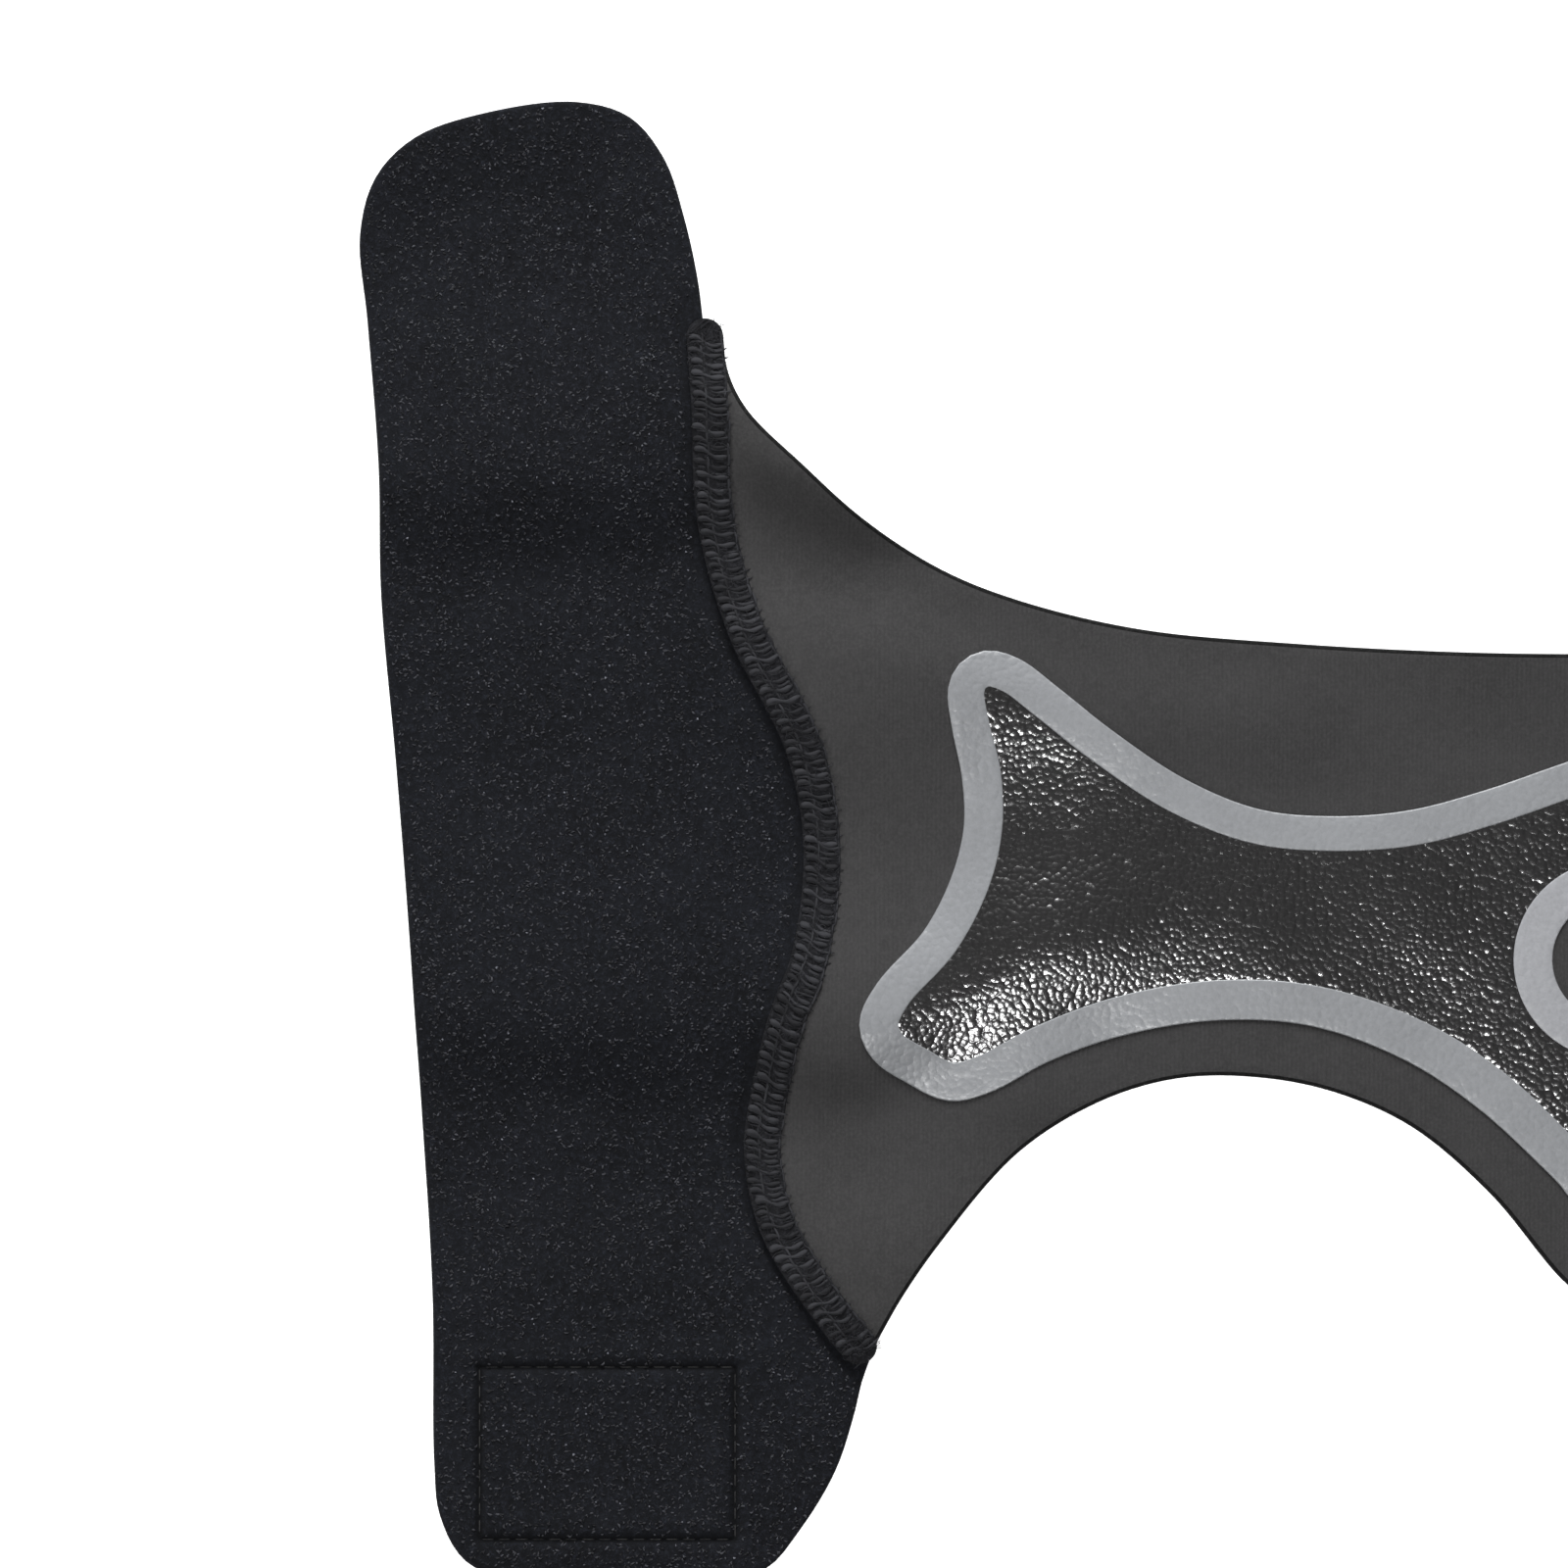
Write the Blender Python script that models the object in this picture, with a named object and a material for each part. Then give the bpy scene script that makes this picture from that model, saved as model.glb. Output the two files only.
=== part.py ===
"""Wrap-around ankle brace, opened and laid flat with its outer face up.

Metres, +Z up. The heel axis is X = 0, the straps run along Y, and Z = 0 is the surface
that the brace lies on. The left half is drawn and the right half is its mirror image.
"""
import math
from collections import namedtuple
from functools import lru_cache

import bmesh
import bpy

# Overall sizes
HEIGHT = 0.257  # a strap from ear to ear
SEAM_REACH = 0.156  # heel axis to a seam's top end
UPPER_EAR_WIDE = 0.061  # a seam's top end to the strap's outer edge
LOWER_EAR_WIDE = 0.0755  # a seam's bottom end to the strap's outer edge

# Cloth
PANEL_THICK = 0.0024
STRAP_THICK = 0.0022
SEAM_WIDE = 0.0066
SEAM_THICK = 0.0008

# Hook tape behind a lower ear
PATCH_WIDE = 0.045
PATCH_TALL = 0.0306
PATCH_THICK = 0.0015
PATCH_ROUND = 0.002

# Silicone print
BAND_WIDE = 0.007
BAND_THICK = 0.0006
FILL_THICK = 0.0004
RING_RADIUS = 0.0173
RING_WIDE = 0.0068
RING_THICK = 0.0006

# How the cloth lies
FOLD_RISE = 0.004
LEDGE_EASE = 0.022  # over this length the cloth comes down from a patch to the surface
GAP = 0.0003  # between neighbouring pieces

# Facets
FACET = 0.012
EDGE_STEP = 0.007
BAND_STEP = 0.006
ARC_STEPS = 12
CORNER_STEPS = 3
CUT_SLACK = 0.0001
WELD = 0.000001
SHARP_ANGLE = math.radians(40)

# across: share of the width that the outline's own note names, outwards from its zero
# up: share of HEIGHT above the lowest point
Place = namedtuple("Place", "across up")

# across 0 is the heel axis, 1 is SEAM_REACH; from the seam's top end to its bottom end
SEAM_LINE = [
    Place(1.009, 0.854), Place(1.002, 0.795), Place(0.996, 0.719), Place(0.963, 0.646),
    Place(0.899, 0.567), Place(0.878, 0.500), Place(0.891, 0.425), Place(0.917, 0.382),
    Place(0.937, 0.329), Place(0.944, 0.293), Place(0.927, 0.243), Place(0.866, 0.184),
    Place(0.824, 0.153),
]
# The panel's hollow top edge, from the seam to the heel axis
TOP_EDGE = [
    Place(0.988, 0.842), Place(0.982, 0.818), Place(0.961, 0.792), Place(0.898, 0.754),
    Place(0.833, 0.719), Place(0.745, 0.685), Place(0.658, 0.664), Place(0.527, 0.645),
    Place(0.353, 0.635), Place(0.157, 0.629), Place(0.000, 0.628),
]
# The panel's heel arch and half of its middle tongue, from the seam to the heel axis
ARCH_EDGE = [
    Place(0.815, 0.167), Place(0.787, 0.197), Place(0.745, 0.233), Place(0.658, 0.293),
    Place(0.571, 0.326), Place(0.484, 0.342), Place(0.397, 0.343), Place(0.310, 0.333),
    Place(0.222, 0.309), Place(0.135, 0.264), Place(0.048, 0.202), Place(0.000, 0.185),
]
# across 0 is the seam's top end, 1 is UPPER_EAR_WIDE further out
UPPER_EAR = [
    Place(0.040, 0.881), Place(0.079, 0.923), Place(0.135, 0.962), Place(0.233, 0.990),
    Place(0.381, 1.000), Place(0.632, 0.993), Place(0.841, 0.976), Place(0.955, 0.949),
    Place(1.000, 0.911), Place(0.978, 0.852), Place(0.944, 0.752), Place(0.941, 0.673),
]
# across 0 is the seam's bottom end, 1 is LOWER_EAR_WIDE further out
LOWER_EAR = [
    Place(1.089, 0.554), Place(1.056, 0.435), Place(1.029, 0.316), Place(1.004, 0.197),
    Place(1.000, 0.084), Place(0.987, 0.048), Place(0.927, 0.017), Place(0.784, 0.002),
    Place(0.573, 0.000), Place(0.362, 0.003), Place(0.240, 0.012), Place(0.162, 0.038),
    Place(0.080, 0.078), Place(0.036, 0.117), Place(0.020, 0.137),
]
PATCH_CENTRE = Place(0.603, 0.090)
# The middle line of the printed support, from the heel axis round its two tips and back
# wide: share of BAND_WIDE there
Run = namedtuple("Run", "across up wide")
BAND_LINE = [
    Run(0.000, 0.553, 0.89), Run(0.049, 0.543, 0.89), Run(0.135, 0.525, 0.89), Run(0.222, 0.511, 0.89),
    Run(0.310, 0.507, 0.87), Run(0.397, 0.512, 0.87), Run(0.484, 0.533, 0.89), Run(0.571, 0.568, 0.90),
    Run(0.627, 0.595, 0.91), Run(0.669, 0.614, 0.91), Run(0.695, 0.618, 0.91), Run(0.711, 0.613, 0.90),
    Run(0.718, 0.603, 0.91), Run(0.713, 0.580, 0.94), Run(0.701, 0.547, 0.98), Run(0.699, 0.511, 0.96),
    Run(0.713, 0.475, 0.96), Run(0.747, 0.435, 0.94), Run(0.800, 0.399, 0.94), Run(0.815, 0.379, 0.97),
    Run(0.805, 0.364, 0.96), Run(0.773, 0.351, 0.98), Run(0.735, 0.340, 0.96), Run(0.699, 0.345, 0.95),
    Run(0.636, 0.365, 0.94), Run(0.549, 0.384, 0.98), Run(0.440, 0.395, 1.00), Run(0.331, 0.391, 1.01),
    Run(0.222, 0.368, 1.07), Run(0.135, 0.334, 1.10), Run(0.049, 0.285, 1.06), Run(0.000, 0.255, 1.06),
]
RING_CENTRE = Place(0.000, 0.422)

# A fold is a low hill. across: share of SEAM_REACH; up, long, near, far: shares of HEIGHT,
# the last three from its crest to its ends, its lower foot and its upper foot; turn: the
# crest's degrees from X; rise: share of FOLD_RISE
Fold = namedtuple("Fold", "across up turn long near far rise")
FOLDS = [
    Fold(0.860, 0.762, -30, 0.140, 0.072, 0.062, 1.30),
    Fold(0.833, 0.622, -15, 0.150, 0.130, 0.060, 0.85),
    Fold(0.000, 0.665, 0, 0.480, 0.110, 0.060, 0.50),
    Fold(0.470, 0.585, -4, 0.180, 0.055, 0.055, 0.35),
    Fold(0.631, 0.425, 24, 0.140, 0.075, 0.090, 0.70),
    Fold(0.860, 0.382, -14, 0.110, 0.065, 0.100, 0.65),
    Fold(0.805, 0.210, 40, 0.100, 0.070, 0.085, 0.70),
    Fold(0.300, 0.440, 2, 0.230, 0.070, 0.070, 0.10),
    Fold(1.203, 0.755, 2, 0.240, 0.085, 0.165, 1.00),
    Fold(1.149, 0.394, -3, 0.250, 0.090, 0.190, 1.00),
    Fold(1.290, 0.985, 12, 0.180, 0.070, 0.070, 0.45),
]

# red, green, blue, roughness
Finish = namedtuple("Finish", "red green blue rough")
LAMINATE = Finish(0.051, 0.049, 0.050, 0.85)
LOOP_PILE = Finish(0.018, 0.019, 0.023, 0.95)
SEAM_THREAD = Finish(0.030, 0.030, 0.033, 0.80)
HOOK_TAPE = Finish(0.012, 0.012, 0.013, 0.60)
GREY_SILICONE = Finish(0.320, 0.335, 0.350, 0.45)
BLACK_SILICONE = Finish(0.020, 0.020, 0.020, 0.25)


def clear_scene():
    """Remove whatever the scene holds."""
    for thing in list(bpy.data.objects):
        bpy.data.objects.remove(thing, do_unlink=True)


def level(up):
    """Y of a share of HEIGHT, with the brace's middle at 0."""
    return (up - 0.5) * HEIGHT


def from_axis(place):
    """Point of a place, run or fold, measured outwards from the heel axis."""
    return (-place.across * SEAM_REACH, level(place.up))


def from_seam(end, wide):
    """Function that gives the point of a place measured outwards from a seam's end."""
    start = from_axis(end)[0]
    return lambda place: (start - place.across * wide, level(place.up))


upper_ear_point = from_seam(Place(1.0, SEAM_LINE[0].up), UPPER_EAR_WIDE)
lower_ear_point = from_seam(SEAM_LINE[-1], LOWER_EAR_WIDE)


def beyond(points, end, near):
    """Helper point past an end: the mirror image at the heel axis, or else straight on."""
    if abs(points[end][0]) < WELD:
        return (-points[near][0], *points[near][1:])
    return tuple(2 * a - b for a, b in zip(points[end], points[near]))


def curve(points, step):
    """Points about a step apart on a smooth line through the given ones."""
    chain = [beyond(points, 0, 1), *points, beyond(points, -1, -2)]
    line = []
    for a, b, c, d in zip(chain, chain[1:], chain[2:], chain[3:]):
        knots = [0.0]
        for start, stop in ((a, b), (b, c), (c, d)):
            knots.append(knots[-1] + math.dist(start, stop) ** 0.5)
        count = max(1, round(math.dist(b, c) / step))
        for index in range(count):
            at = knots[1] + (knots[2] - knots[1]) * index / count
            line.append(on_span((a, b, c, d), knots, at))
    return [*line, points[-1]]


def on_span(points, knots, at):
    """Point of a Catmull-Rom span whose four points have the given knots."""

    def mix(low, high, start, stop):
        share = (at - knots[low]) / (knots[high] - knots[low])
        return tuple(a + (b - a) * share for a, b in zip(start, stop))

    first, second, third = (mix(i, i + 1, points[i], points[i + 1]) for i in range(3))
    return mix(1, 2, mix(0, 2, first, second), mix(1, 3, second, third))


def shifted(line, distances):
    """The line moved sideways by each point's own distance, to its left, without loops.

    A point on the heel axis always stays, so that the two halves meet there.
    """
    moved = []
    for index, ((x, y, *_), distance) in enumerate(zip(line, distances)):
        before = line[index - 1] if index else beyond(line, 0, 1)
        after = line[index + 1] if index + 1 < len(line) else beyond(line, -1, -2)
        run, rise = after[0] - before[0], after[1] - before[1]
        size = math.hypot(run, rise)
        moved.append((x - rise / size * distance, y + run / size * distance))
    kept = []
    for point, distance in zip(moved, distances):
        nearest = min(math.dist(point, other[:2]) for other in line)
        if abs(point[0]) < WELD or nearest > abs(distance) - CUT_SLACK:
            kept.append((min(point[0], 0.0), point[1]))
    return kept


def arc(centre, radius, start, stop, steps):
    """Points of an arc between two angles in degrees."""
    turns = [math.radians(start + (stop - start) * i / steps) for i in range(steps + 1)]
    return [(centre[0] + radius * math.cos(t), centre[1] + radius * math.sin(t)) for t in turns]


SEAM = curve([from_axis(place) for place in SEAM_LINE], EDGE_STEP)
BAND = curve([(*from_axis(run), run.wide * BAND_WIDE / 2) for run in BAND_LINE], BAND_STEP)


def strap_outline():
    """A strap: both ears, its outer edge, and the seam."""
    ears = [upper_ear_point(place) for place in UPPER_EAR]
    ears += [lower_ear_point(place) for place in LOWER_EAR]
    seam = shifted(SEAM, [-GAP / 2] * len(SEAM))
    return curve([seam[0], *ears, seam[-1]], EDGE_STEP) + seam[-2:0:-1]


def panel_outline():
    """Left half of the panel: top edge, heel axis, arch and seam."""
    seam = shifted(SEAM, [GAP / 2] * len(SEAM))
    top = curve([from_axis(place) for place in TOP_EDGE], EDGE_STEP)
    arch = curve([from_axis(place) for place in ARCH_EDGE], EDGE_STEP)
    return top + arch[::-1] + seam[::-1]


def seam_outline():
    """The seam band on its line."""
    half = [SEAM_WIDE / 2] * len(SEAM)
    return shifted(SEAM, half) + shifted(SEAM, [-wide for wide in half])[::-1]


def band_outline():
    """Left half of the raised line round the support."""
    half = [point[2] for point in BAND]
    return shifted(BAND, [-wide for wide in half]) + shifted(BAND, half)[::-1]


def fill_outline():
    """Left half of the coat inside the band and round the ring."""
    rim = arc(from_axis(RING_CENTRE), RING_RADIUS + GAP, 270, 90, ARC_STEPS)
    return shifted(BAND, [point[2] + GAP for point in BAND]) + half_turn(rim)


def ring_outline():
    """Left half of the ring."""
    centre = from_axis(RING_CENTRE)
    outer = arc(centre, RING_RADIUS, 90, 270, ARC_STEPS)
    inner = arc(centre, RING_RADIUS - RING_WIDE, 270, 90, ARC_STEPS)
    return half_turn(outer) + half_turn(inner)


def half_turn(points):
    """A half circle whose two ends are set exactly on the heel axis."""
    return [(0.0, points[0][1]), *points[1:-1], (0.0, points[-1][1])]


def patch_outline():
    """The hook tape, a rectangle with round corners."""
    x, y = lower_ear_point(PATCH_CENTRE)
    out, up = PATCH_WIDE / 2 - PATCH_ROUND, PATCH_TALL / 2 - PATCH_ROUND
    corners = ((out, up, 0), (-out, up, 90), (-out, -up, 180), (out, -up, 270))
    outline = []
    for right, high, start in corners:
        outline += arc((x + right, y + high), PATCH_ROUND, start, start + 90, CORNER_STEPS)
    return outline


def ease(share):
    """Smooth step from 0 to 1."""
    share = min(max(share, 0.0), 1.0)
    return share * share * (3 - 2 * share)


def ledge(x, y):
    """1 over the hook tape and a facet round it, 0 past LEDGE_EASE."""
    centre = lower_ear_point(PATCH_CENTRE)
    past_x = max(abs(x - centre[0]) - PATCH_WIDE / 2 - FACET, 0.0)
    past_y = max(abs(y - centre[1]) - PATCH_TALL / 2 - FACET, 0.0)
    return ease(1 - math.hypot(past_x, past_y) / LEDGE_EASE)


def hill(fold, x, y):
    """Height of one fold at a point."""
    centre = from_axis(fold)
    turn = math.radians(fold.turn)
    east, north = x - centre[0], y - centre[1]
    along = (east * math.cos(turn) + north * math.sin(turn)) / (fold.long * HEIGHT)
    aside = (north * math.cos(turn) - east * math.sin(turn)) / HEIGHT
    aside /= fold.near if aside < 0 else fold.far
    return fold.rise * FOLD_RISE * math.cos(math.pi / 2 * min(math.hypot(along, aside), 1)) ** 2


@lru_cache(maxsize=None)
def knot(column, row):
    """Height of the cloth's underside at a corner of the facets, left of the axis."""
    x, y = -column * FACET, row * FACET
    over = ledge(x, y)
    waves = sum(hill(fold, x, y) for fold in FOLDS)
    return over * (PATCH_THICK + GAP) + (1 - over) * waves


def lie(x, y):
    """Height of the cloth's underside: flat facets between the corners, alike both sides."""
    out, up = abs(x) / FACET, y / FACET
    column, row = math.floor(out), math.floor(up)
    out, up = out - column, up - row
    low, high = knot(column, row), knot(column + 1, row + 1)
    if out >= up:
        side = knot(column + 1, row)
        return low + out * (side - low) + up * (high - side)
    side = knot(column, row + 1)
    return low + up * (side - low) + out * (high - side)


def cut_facets(mesh):
    """Cut a flat outline along the facets' edges."""
    reach = math.ceil((SEAM_REACH + UPPER_EAR_WIDE + HEIGHT) / FACET)
    for normal in ((1, 0, 0), (0, 1, 0), (1, 1, 0)):
        for index in range(-reach, reach + 1):
            everything = mesh.verts[:] + mesh.edges[:] + mesh.faces[:]
            bmesh.ops.bisect_plane(
                mesh,
                geom=everything,
                dist=CUT_SLACK,
                plane_co=(index * FACET * normal[0], index * FACET * (1 - normal[0]), 0),
                plane_no=normal,
            )


def material(name, finish):
    """Plain material of a finish, made once."""
    made = bpy.data.materials.get(name)
    if made is None:
        made = bpy.data.materials.new(name)
        made.use_nodes = True
        shader = made.node_tree.nodes["Principled BSDF"]
        shader.inputs["Base Color"].default_value = (finish.red, finish.green, finish.blue, 1)
        shader.inputs["Roughness"].default_value = finish.rough
        shader.inputs["Metallic"].default_value = 0.0
    return made


def layer(name, outline, low, thick, finish, look, side=0, lies=True):
    """One layer of the brace as a closed solid.

    A side of -1 keeps the outline on the left, 1 turns it over to the right, and 0 joins
    it to its mirror image at the heel axis.
    """
    mesh = bmesh.new()
    mesh.faces.new([mesh.verts.new((x, y, 0)) for x, y in outline])
    if lies:
        cut_facets(mesh)
    if side == 0:
        everything = mesh.verts[:] + mesh.edges[:] + mesh.faces[:]
        bmesh.ops.mirror(mesh, geom=everything, axis="X", merge_dist=WELD)
        bmesh.ops.remove_doubles(mesh, verts=mesh.verts[:], dist=WELD)
    if side == 1:
        bmesh.ops.scale(mesh, vec=(-1, 1, 1), verts=mesh.verts[:])
    raised = bmesh.ops.extrude_face_region(mesh, geom=mesh.faces[:])
    tops = {item for item in raised["geom"] if isinstance(item, bmesh.types.BMVert)}
    for vert in mesh.verts:
        vert.co.z = low + (thick if vert in tops else 0.0)
        vert.co.z += lie(vert.co.x, vert.co.y) if lies else 0.0
    bmesh.ops.triangulate(mesh, faces=mesh.faces[:])
    bmesh.ops.recalc_face_normals(mesh, faces=mesh.faces[:])
    data = bpy.data.meshes.new(name)
    mesh.to_mesh(data)
    mesh.free()
    data.shade_smooth()
    data.set_sharp_from_angle(angle=SHARP_ANGLE)
    data.materials.append(material(finish, look))
    piece = bpy.data.objects.new(name, data)
    bpy.context.scene.collection.objects.link(piece)
    return piece


def build():
    """Make every piece of the brace."""
    clear_scene()
    cloth_top = max(PANEL_THICK, STRAP_THICK) + GAP
    print_low = PANEL_THICK + GAP
    layer("body_panel", panel_outline(), 0.0, PANEL_THICK, "laminate", LAMINATE)
    layer("support_band", band_outline(), print_low, BAND_THICK, "grey_silicone", GREY_SILICONE)
    layer("ankle_ring", ring_outline(), print_low, RING_THICK, "grey_silicone", GREY_SILICONE)
    layer("support_fill", fill_outline(), print_low, FILL_THICK, "black_silicone", BLACK_SILICONE)
    for side, word in ((-1, "left"), (1, "right")):
        layer(f"strap_{word}", strap_outline(), 0.0, STRAP_THICK, "loop_pile", LOOP_PILE, side)
        layer(f"seam_{word}", seam_outline(), cloth_top, SEAM_THICK, "seam_thread", SEAM_THREAD, side)
        layer(
            f"hook_patch_{word}", patch_outline(), 0.0, PATCH_THICK, "hook_tape", HOOK_TAPE, side, False
        )


build()
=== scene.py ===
"""Looks of a wrap-around ankle brace that lies flat with its outer face up.

Metres, +Z up. The heel axis is X = 0, the straps run along Y, and Z = 0 is the surface
that the brace lies on. Places are shares of the same sizes that its solids are cut from.
"""

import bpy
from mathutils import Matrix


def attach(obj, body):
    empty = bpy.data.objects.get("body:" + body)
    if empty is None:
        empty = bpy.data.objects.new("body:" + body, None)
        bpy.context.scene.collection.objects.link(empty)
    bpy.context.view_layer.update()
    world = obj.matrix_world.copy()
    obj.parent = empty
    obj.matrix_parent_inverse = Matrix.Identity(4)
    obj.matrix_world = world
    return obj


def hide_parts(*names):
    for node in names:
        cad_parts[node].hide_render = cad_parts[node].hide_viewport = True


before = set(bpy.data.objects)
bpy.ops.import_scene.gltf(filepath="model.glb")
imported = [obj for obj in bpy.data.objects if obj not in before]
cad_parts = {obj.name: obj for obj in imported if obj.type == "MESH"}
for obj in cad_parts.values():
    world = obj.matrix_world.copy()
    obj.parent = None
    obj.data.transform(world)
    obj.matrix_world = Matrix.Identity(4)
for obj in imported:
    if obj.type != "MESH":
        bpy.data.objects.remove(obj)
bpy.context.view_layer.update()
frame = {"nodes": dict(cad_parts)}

import logging
import math
from collections.abc import Sequence
from dataclasses import dataclass, field
from enum import Enum
from typing import ClassVar, NamedTuple

import bmesh
import bpy
import numpy as np
from mathutils import Vector

logging.basicConfig(level=logging.INFO, format="%(name)s: %(message)s")
log = logging.getLogger("ankle_brace")

Point = tuple[float, float]
Colour = tuple[float, float, float]
Span = tuple[float, float]
MM = 0.001
TINY = 1e-6


class Side(Enum):
    """Which half of the brace a piece belongs to."""

    LEFT = -1
    BOTH = 0
    RIGHT = 1

    @property
    def word(self) -> str:
        """The side's name in lower case."""
        return self.name.lower()


class Place(NamedTuple):
    """A point of an outline, as shares of a width and of the brace's height."""

    across: float
    up: float


class Run(NamedTuple):
    """A point of the printed line, with the line's width there as a share of the widest."""

    across: float
    up: float
    wide: float


class Fold(NamedTuple):
    """A low hill in the cloth.

    across is a share of the seam's reach. up, long, near and far are shares of the height:
    the last three reach from its crest to its ends, its lower foot and its upper foot. turn
    is the crest's angle from X in degrees, and rise is a share of the highest fold.
    """

    across: float
    up: float
    turn: float
    long: float
    near: float
    far: float
    rise: float


class Turn(NamedTuple):
    """A point that a seam's thread passes through, in millimetres.

    across runs from the strap to the panel, along runs towards the seam's top end, high is
    above the seam's ground, and radius is the thread's own.
    """

    across: float
    along: float
    high: float
    radius: float


class Grain(NamedTuple):
    """Size and depth of a finish's grain in metres."""

    size: float
    depth: float


class Lamp(NamedTuple):
    """A square soft light: its name, its place, its side in metres and its power in watts."""

    name: str
    spot: tuple[float, float, float]
    size: float
    watts: float


@dataclass(frozen=True)
class Sizes:
    """Driving sizes in metres."""

    height: float = 0.257
    seam_reach: float = 0.156
    upper_ear: float = 0.061
    lower_ear: float = 0.0755
    panel: float = 2.4 * MM
    strap: float = 2.2 * MM
    seam_wide: float = 6.6 * MM
    patch_wide: float = 45 * MM
    patch_tall: float = 30.6 * MM
    patch: float = 1.5 * MM
    patch_round: float = 2.0 * MM
    band_wide: float = 7.0 * MM
    ring_radius: float = 17.3 * MM
    ring_wide: float = 6.8 * MM
    fold_rise: float = 4.0 * MM
    ledge_ease: float = 22 * MM
    ledge_rim: float = 12 * MM
    gap: float = 0.3 * MM


SIZES = Sizes()

# across 0 is the heel axis and 1 is the seam's reach; from the top end to the bottom end
SEAM_LINE = (
    Place(1.009, 0.854), Place(1.002, 0.795), Place(0.996, 0.719), Place(0.963, 0.646),
    Place(0.899, 0.567), Place(0.878, 0.500), Place(0.891, 0.425), Place(0.917, 0.382),
    Place(0.937, 0.329), Place(0.944, 0.293), Place(0.927, 0.243), Place(0.866, 0.184),
    Place(0.824, 0.153),
)
# The panel's hollow top edge, from the seam to the heel axis
TOP_EDGE = (
    Place(0.988, 0.842), Place(0.982, 0.818), Place(0.961, 0.792), Place(0.898, 0.754),
    Place(0.833, 0.719), Place(0.745, 0.685), Place(0.658, 0.664), Place(0.527, 0.645),
    Place(0.353, 0.635), Place(0.157, 0.629), Place(0.000, 0.628),
)
# The panel's heel arch and half of its middle tongue, from the seam to the heel axis
ARCH_EDGE = (
    Place(0.815, 0.167), Place(0.787, 0.197), Place(0.745, 0.233), Place(0.658, 0.293),
    Place(0.571, 0.326), Place(0.484, 0.342), Place(0.397, 0.343), Place(0.310, 0.333),
    Place(0.222, 0.309), Place(0.135, 0.264), Place(0.048, 0.202), Place(0.000, 0.185),
)
# across 0 is the seam's top end, 1 is the upper ear's width further out
UPPER_EAR = (
    Place(0.040, 0.881), Place(0.079, 0.923), Place(0.135, 0.962), Place(0.233, 0.990),
    Place(0.381, 1.000), Place(0.632, 0.993), Place(0.841, 0.976), Place(0.955, 0.949),
    Place(1.000, 0.911), Place(0.978, 0.852), Place(0.944, 0.752), Place(0.941, 0.673),
)
# across 0 is the seam's bottom end, 1 is the lower ear's width further out
LOWER_EAR = (
    Place(1.089, 0.554), Place(1.056, 0.435), Place(1.029, 0.316), Place(1.004, 0.197),
    Place(1.000, 0.084), Place(0.987, 0.048), Place(0.927, 0.017), Place(0.784, 0.002),
    Place(0.573, 0.000), Place(0.362, 0.003), Place(0.240, 0.012), Place(0.162, 0.038),
    Place(0.080, 0.078), Place(0.036, 0.117), Place(0.020, 0.137),
)
PATCH_CENTRE = Place(0.603, 0.090)
# The middle line of the printed support, from the heel axis round its two tips and back
BAND_LINE = (
    Run(0.000, 0.553, 0.89), Run(0.049, 0.543, 0.89), Run(0.135, 0.525, 0.89), Run(0.222, 0.511, 0.89),
    Run(0.310, 0.507, 0.87), Run(0.397, 0.512, 0.87), Run(0.484, 0.533, 0.89), Run(0.571, 0.568, 0.90),
    Run(0.627, 0.595, 0.91), Run(0.669, 0.614, 0.91), Run(0.695, 0.618, 0.91), Run(0.711, 0.613, 0.90),
    Run(0.718, 0.603, 0.91), Run(0.713, 0.580, 0.94), Run(0.701, 0.547, 0.98), Run(0.699, 0.511, 0.96),
    Run(0.713, 0.475, 0.96), Run(0.747, 0.435, 0.94), Run(0.800, 0.399, 0.94), Run(0.815, 0.379, 0.97),
    Run(0.805, 0.364, 0.96), Run(0.773, 0.351, 0.98), Run(0.735, 0.340, 0.96), Run(0.699, 0.345, 0.95),
    Run(0.636, 0.365, 0.94), Run(0.549, 0.384, 0.98), Run(0.440, 0.395, 1.00), Run(0.331, 0.391, 1.01),
    Run(0.222, 0.368, 1.07), Run(0.135, 0.334, 1.10), Run(0.049, 0.285, 1.06), Run(0.000, 0.255, 1.06),
)
RING_CENTRE = Place(0.000, 0.422)
RING_STEPS = 48
# The folds of the brace's solids, and after them small creases that only the look has
FOLDS = (
    Fold(0.860, 0.762, -30, 0.140, 0.072, 0.062, 1.30),
    Fold(0.833, 0.622, -15, 0.150, 0.130, 0.060, 0.85),
    Fold(0.000, 0.665, 0, 0.480, 0.110, 0.060, 0.50),
    Fold(0.470, 0.585, -4, 0.180, 0.055, 0.055, 0.35),
    Fold(0.631, 0.425, 24, 0.140, 0.075, 0.090, 0.70),
    Fold(0.860, 0.382, -14, 0.110, 0.065, 0.100, 0.65),
    Fold(0.805, 0.210, 40, 0.100, 0.070, 0.085, 0.70),
    Fold(0.300, 0.440, 2, 0.230, 0.070, 0.070, 0.10),
    Fold(1.203, 0.755, 2, 0.240, 0.085, 0.165, 1.00),
    Fold(1.149, 0.394, -3, 0.250, 0.090, 0.190, 1.00),
    Fold(1.290, 0.985, 12, 0.180, 0.070, 0.070, 0.45),
)
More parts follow.
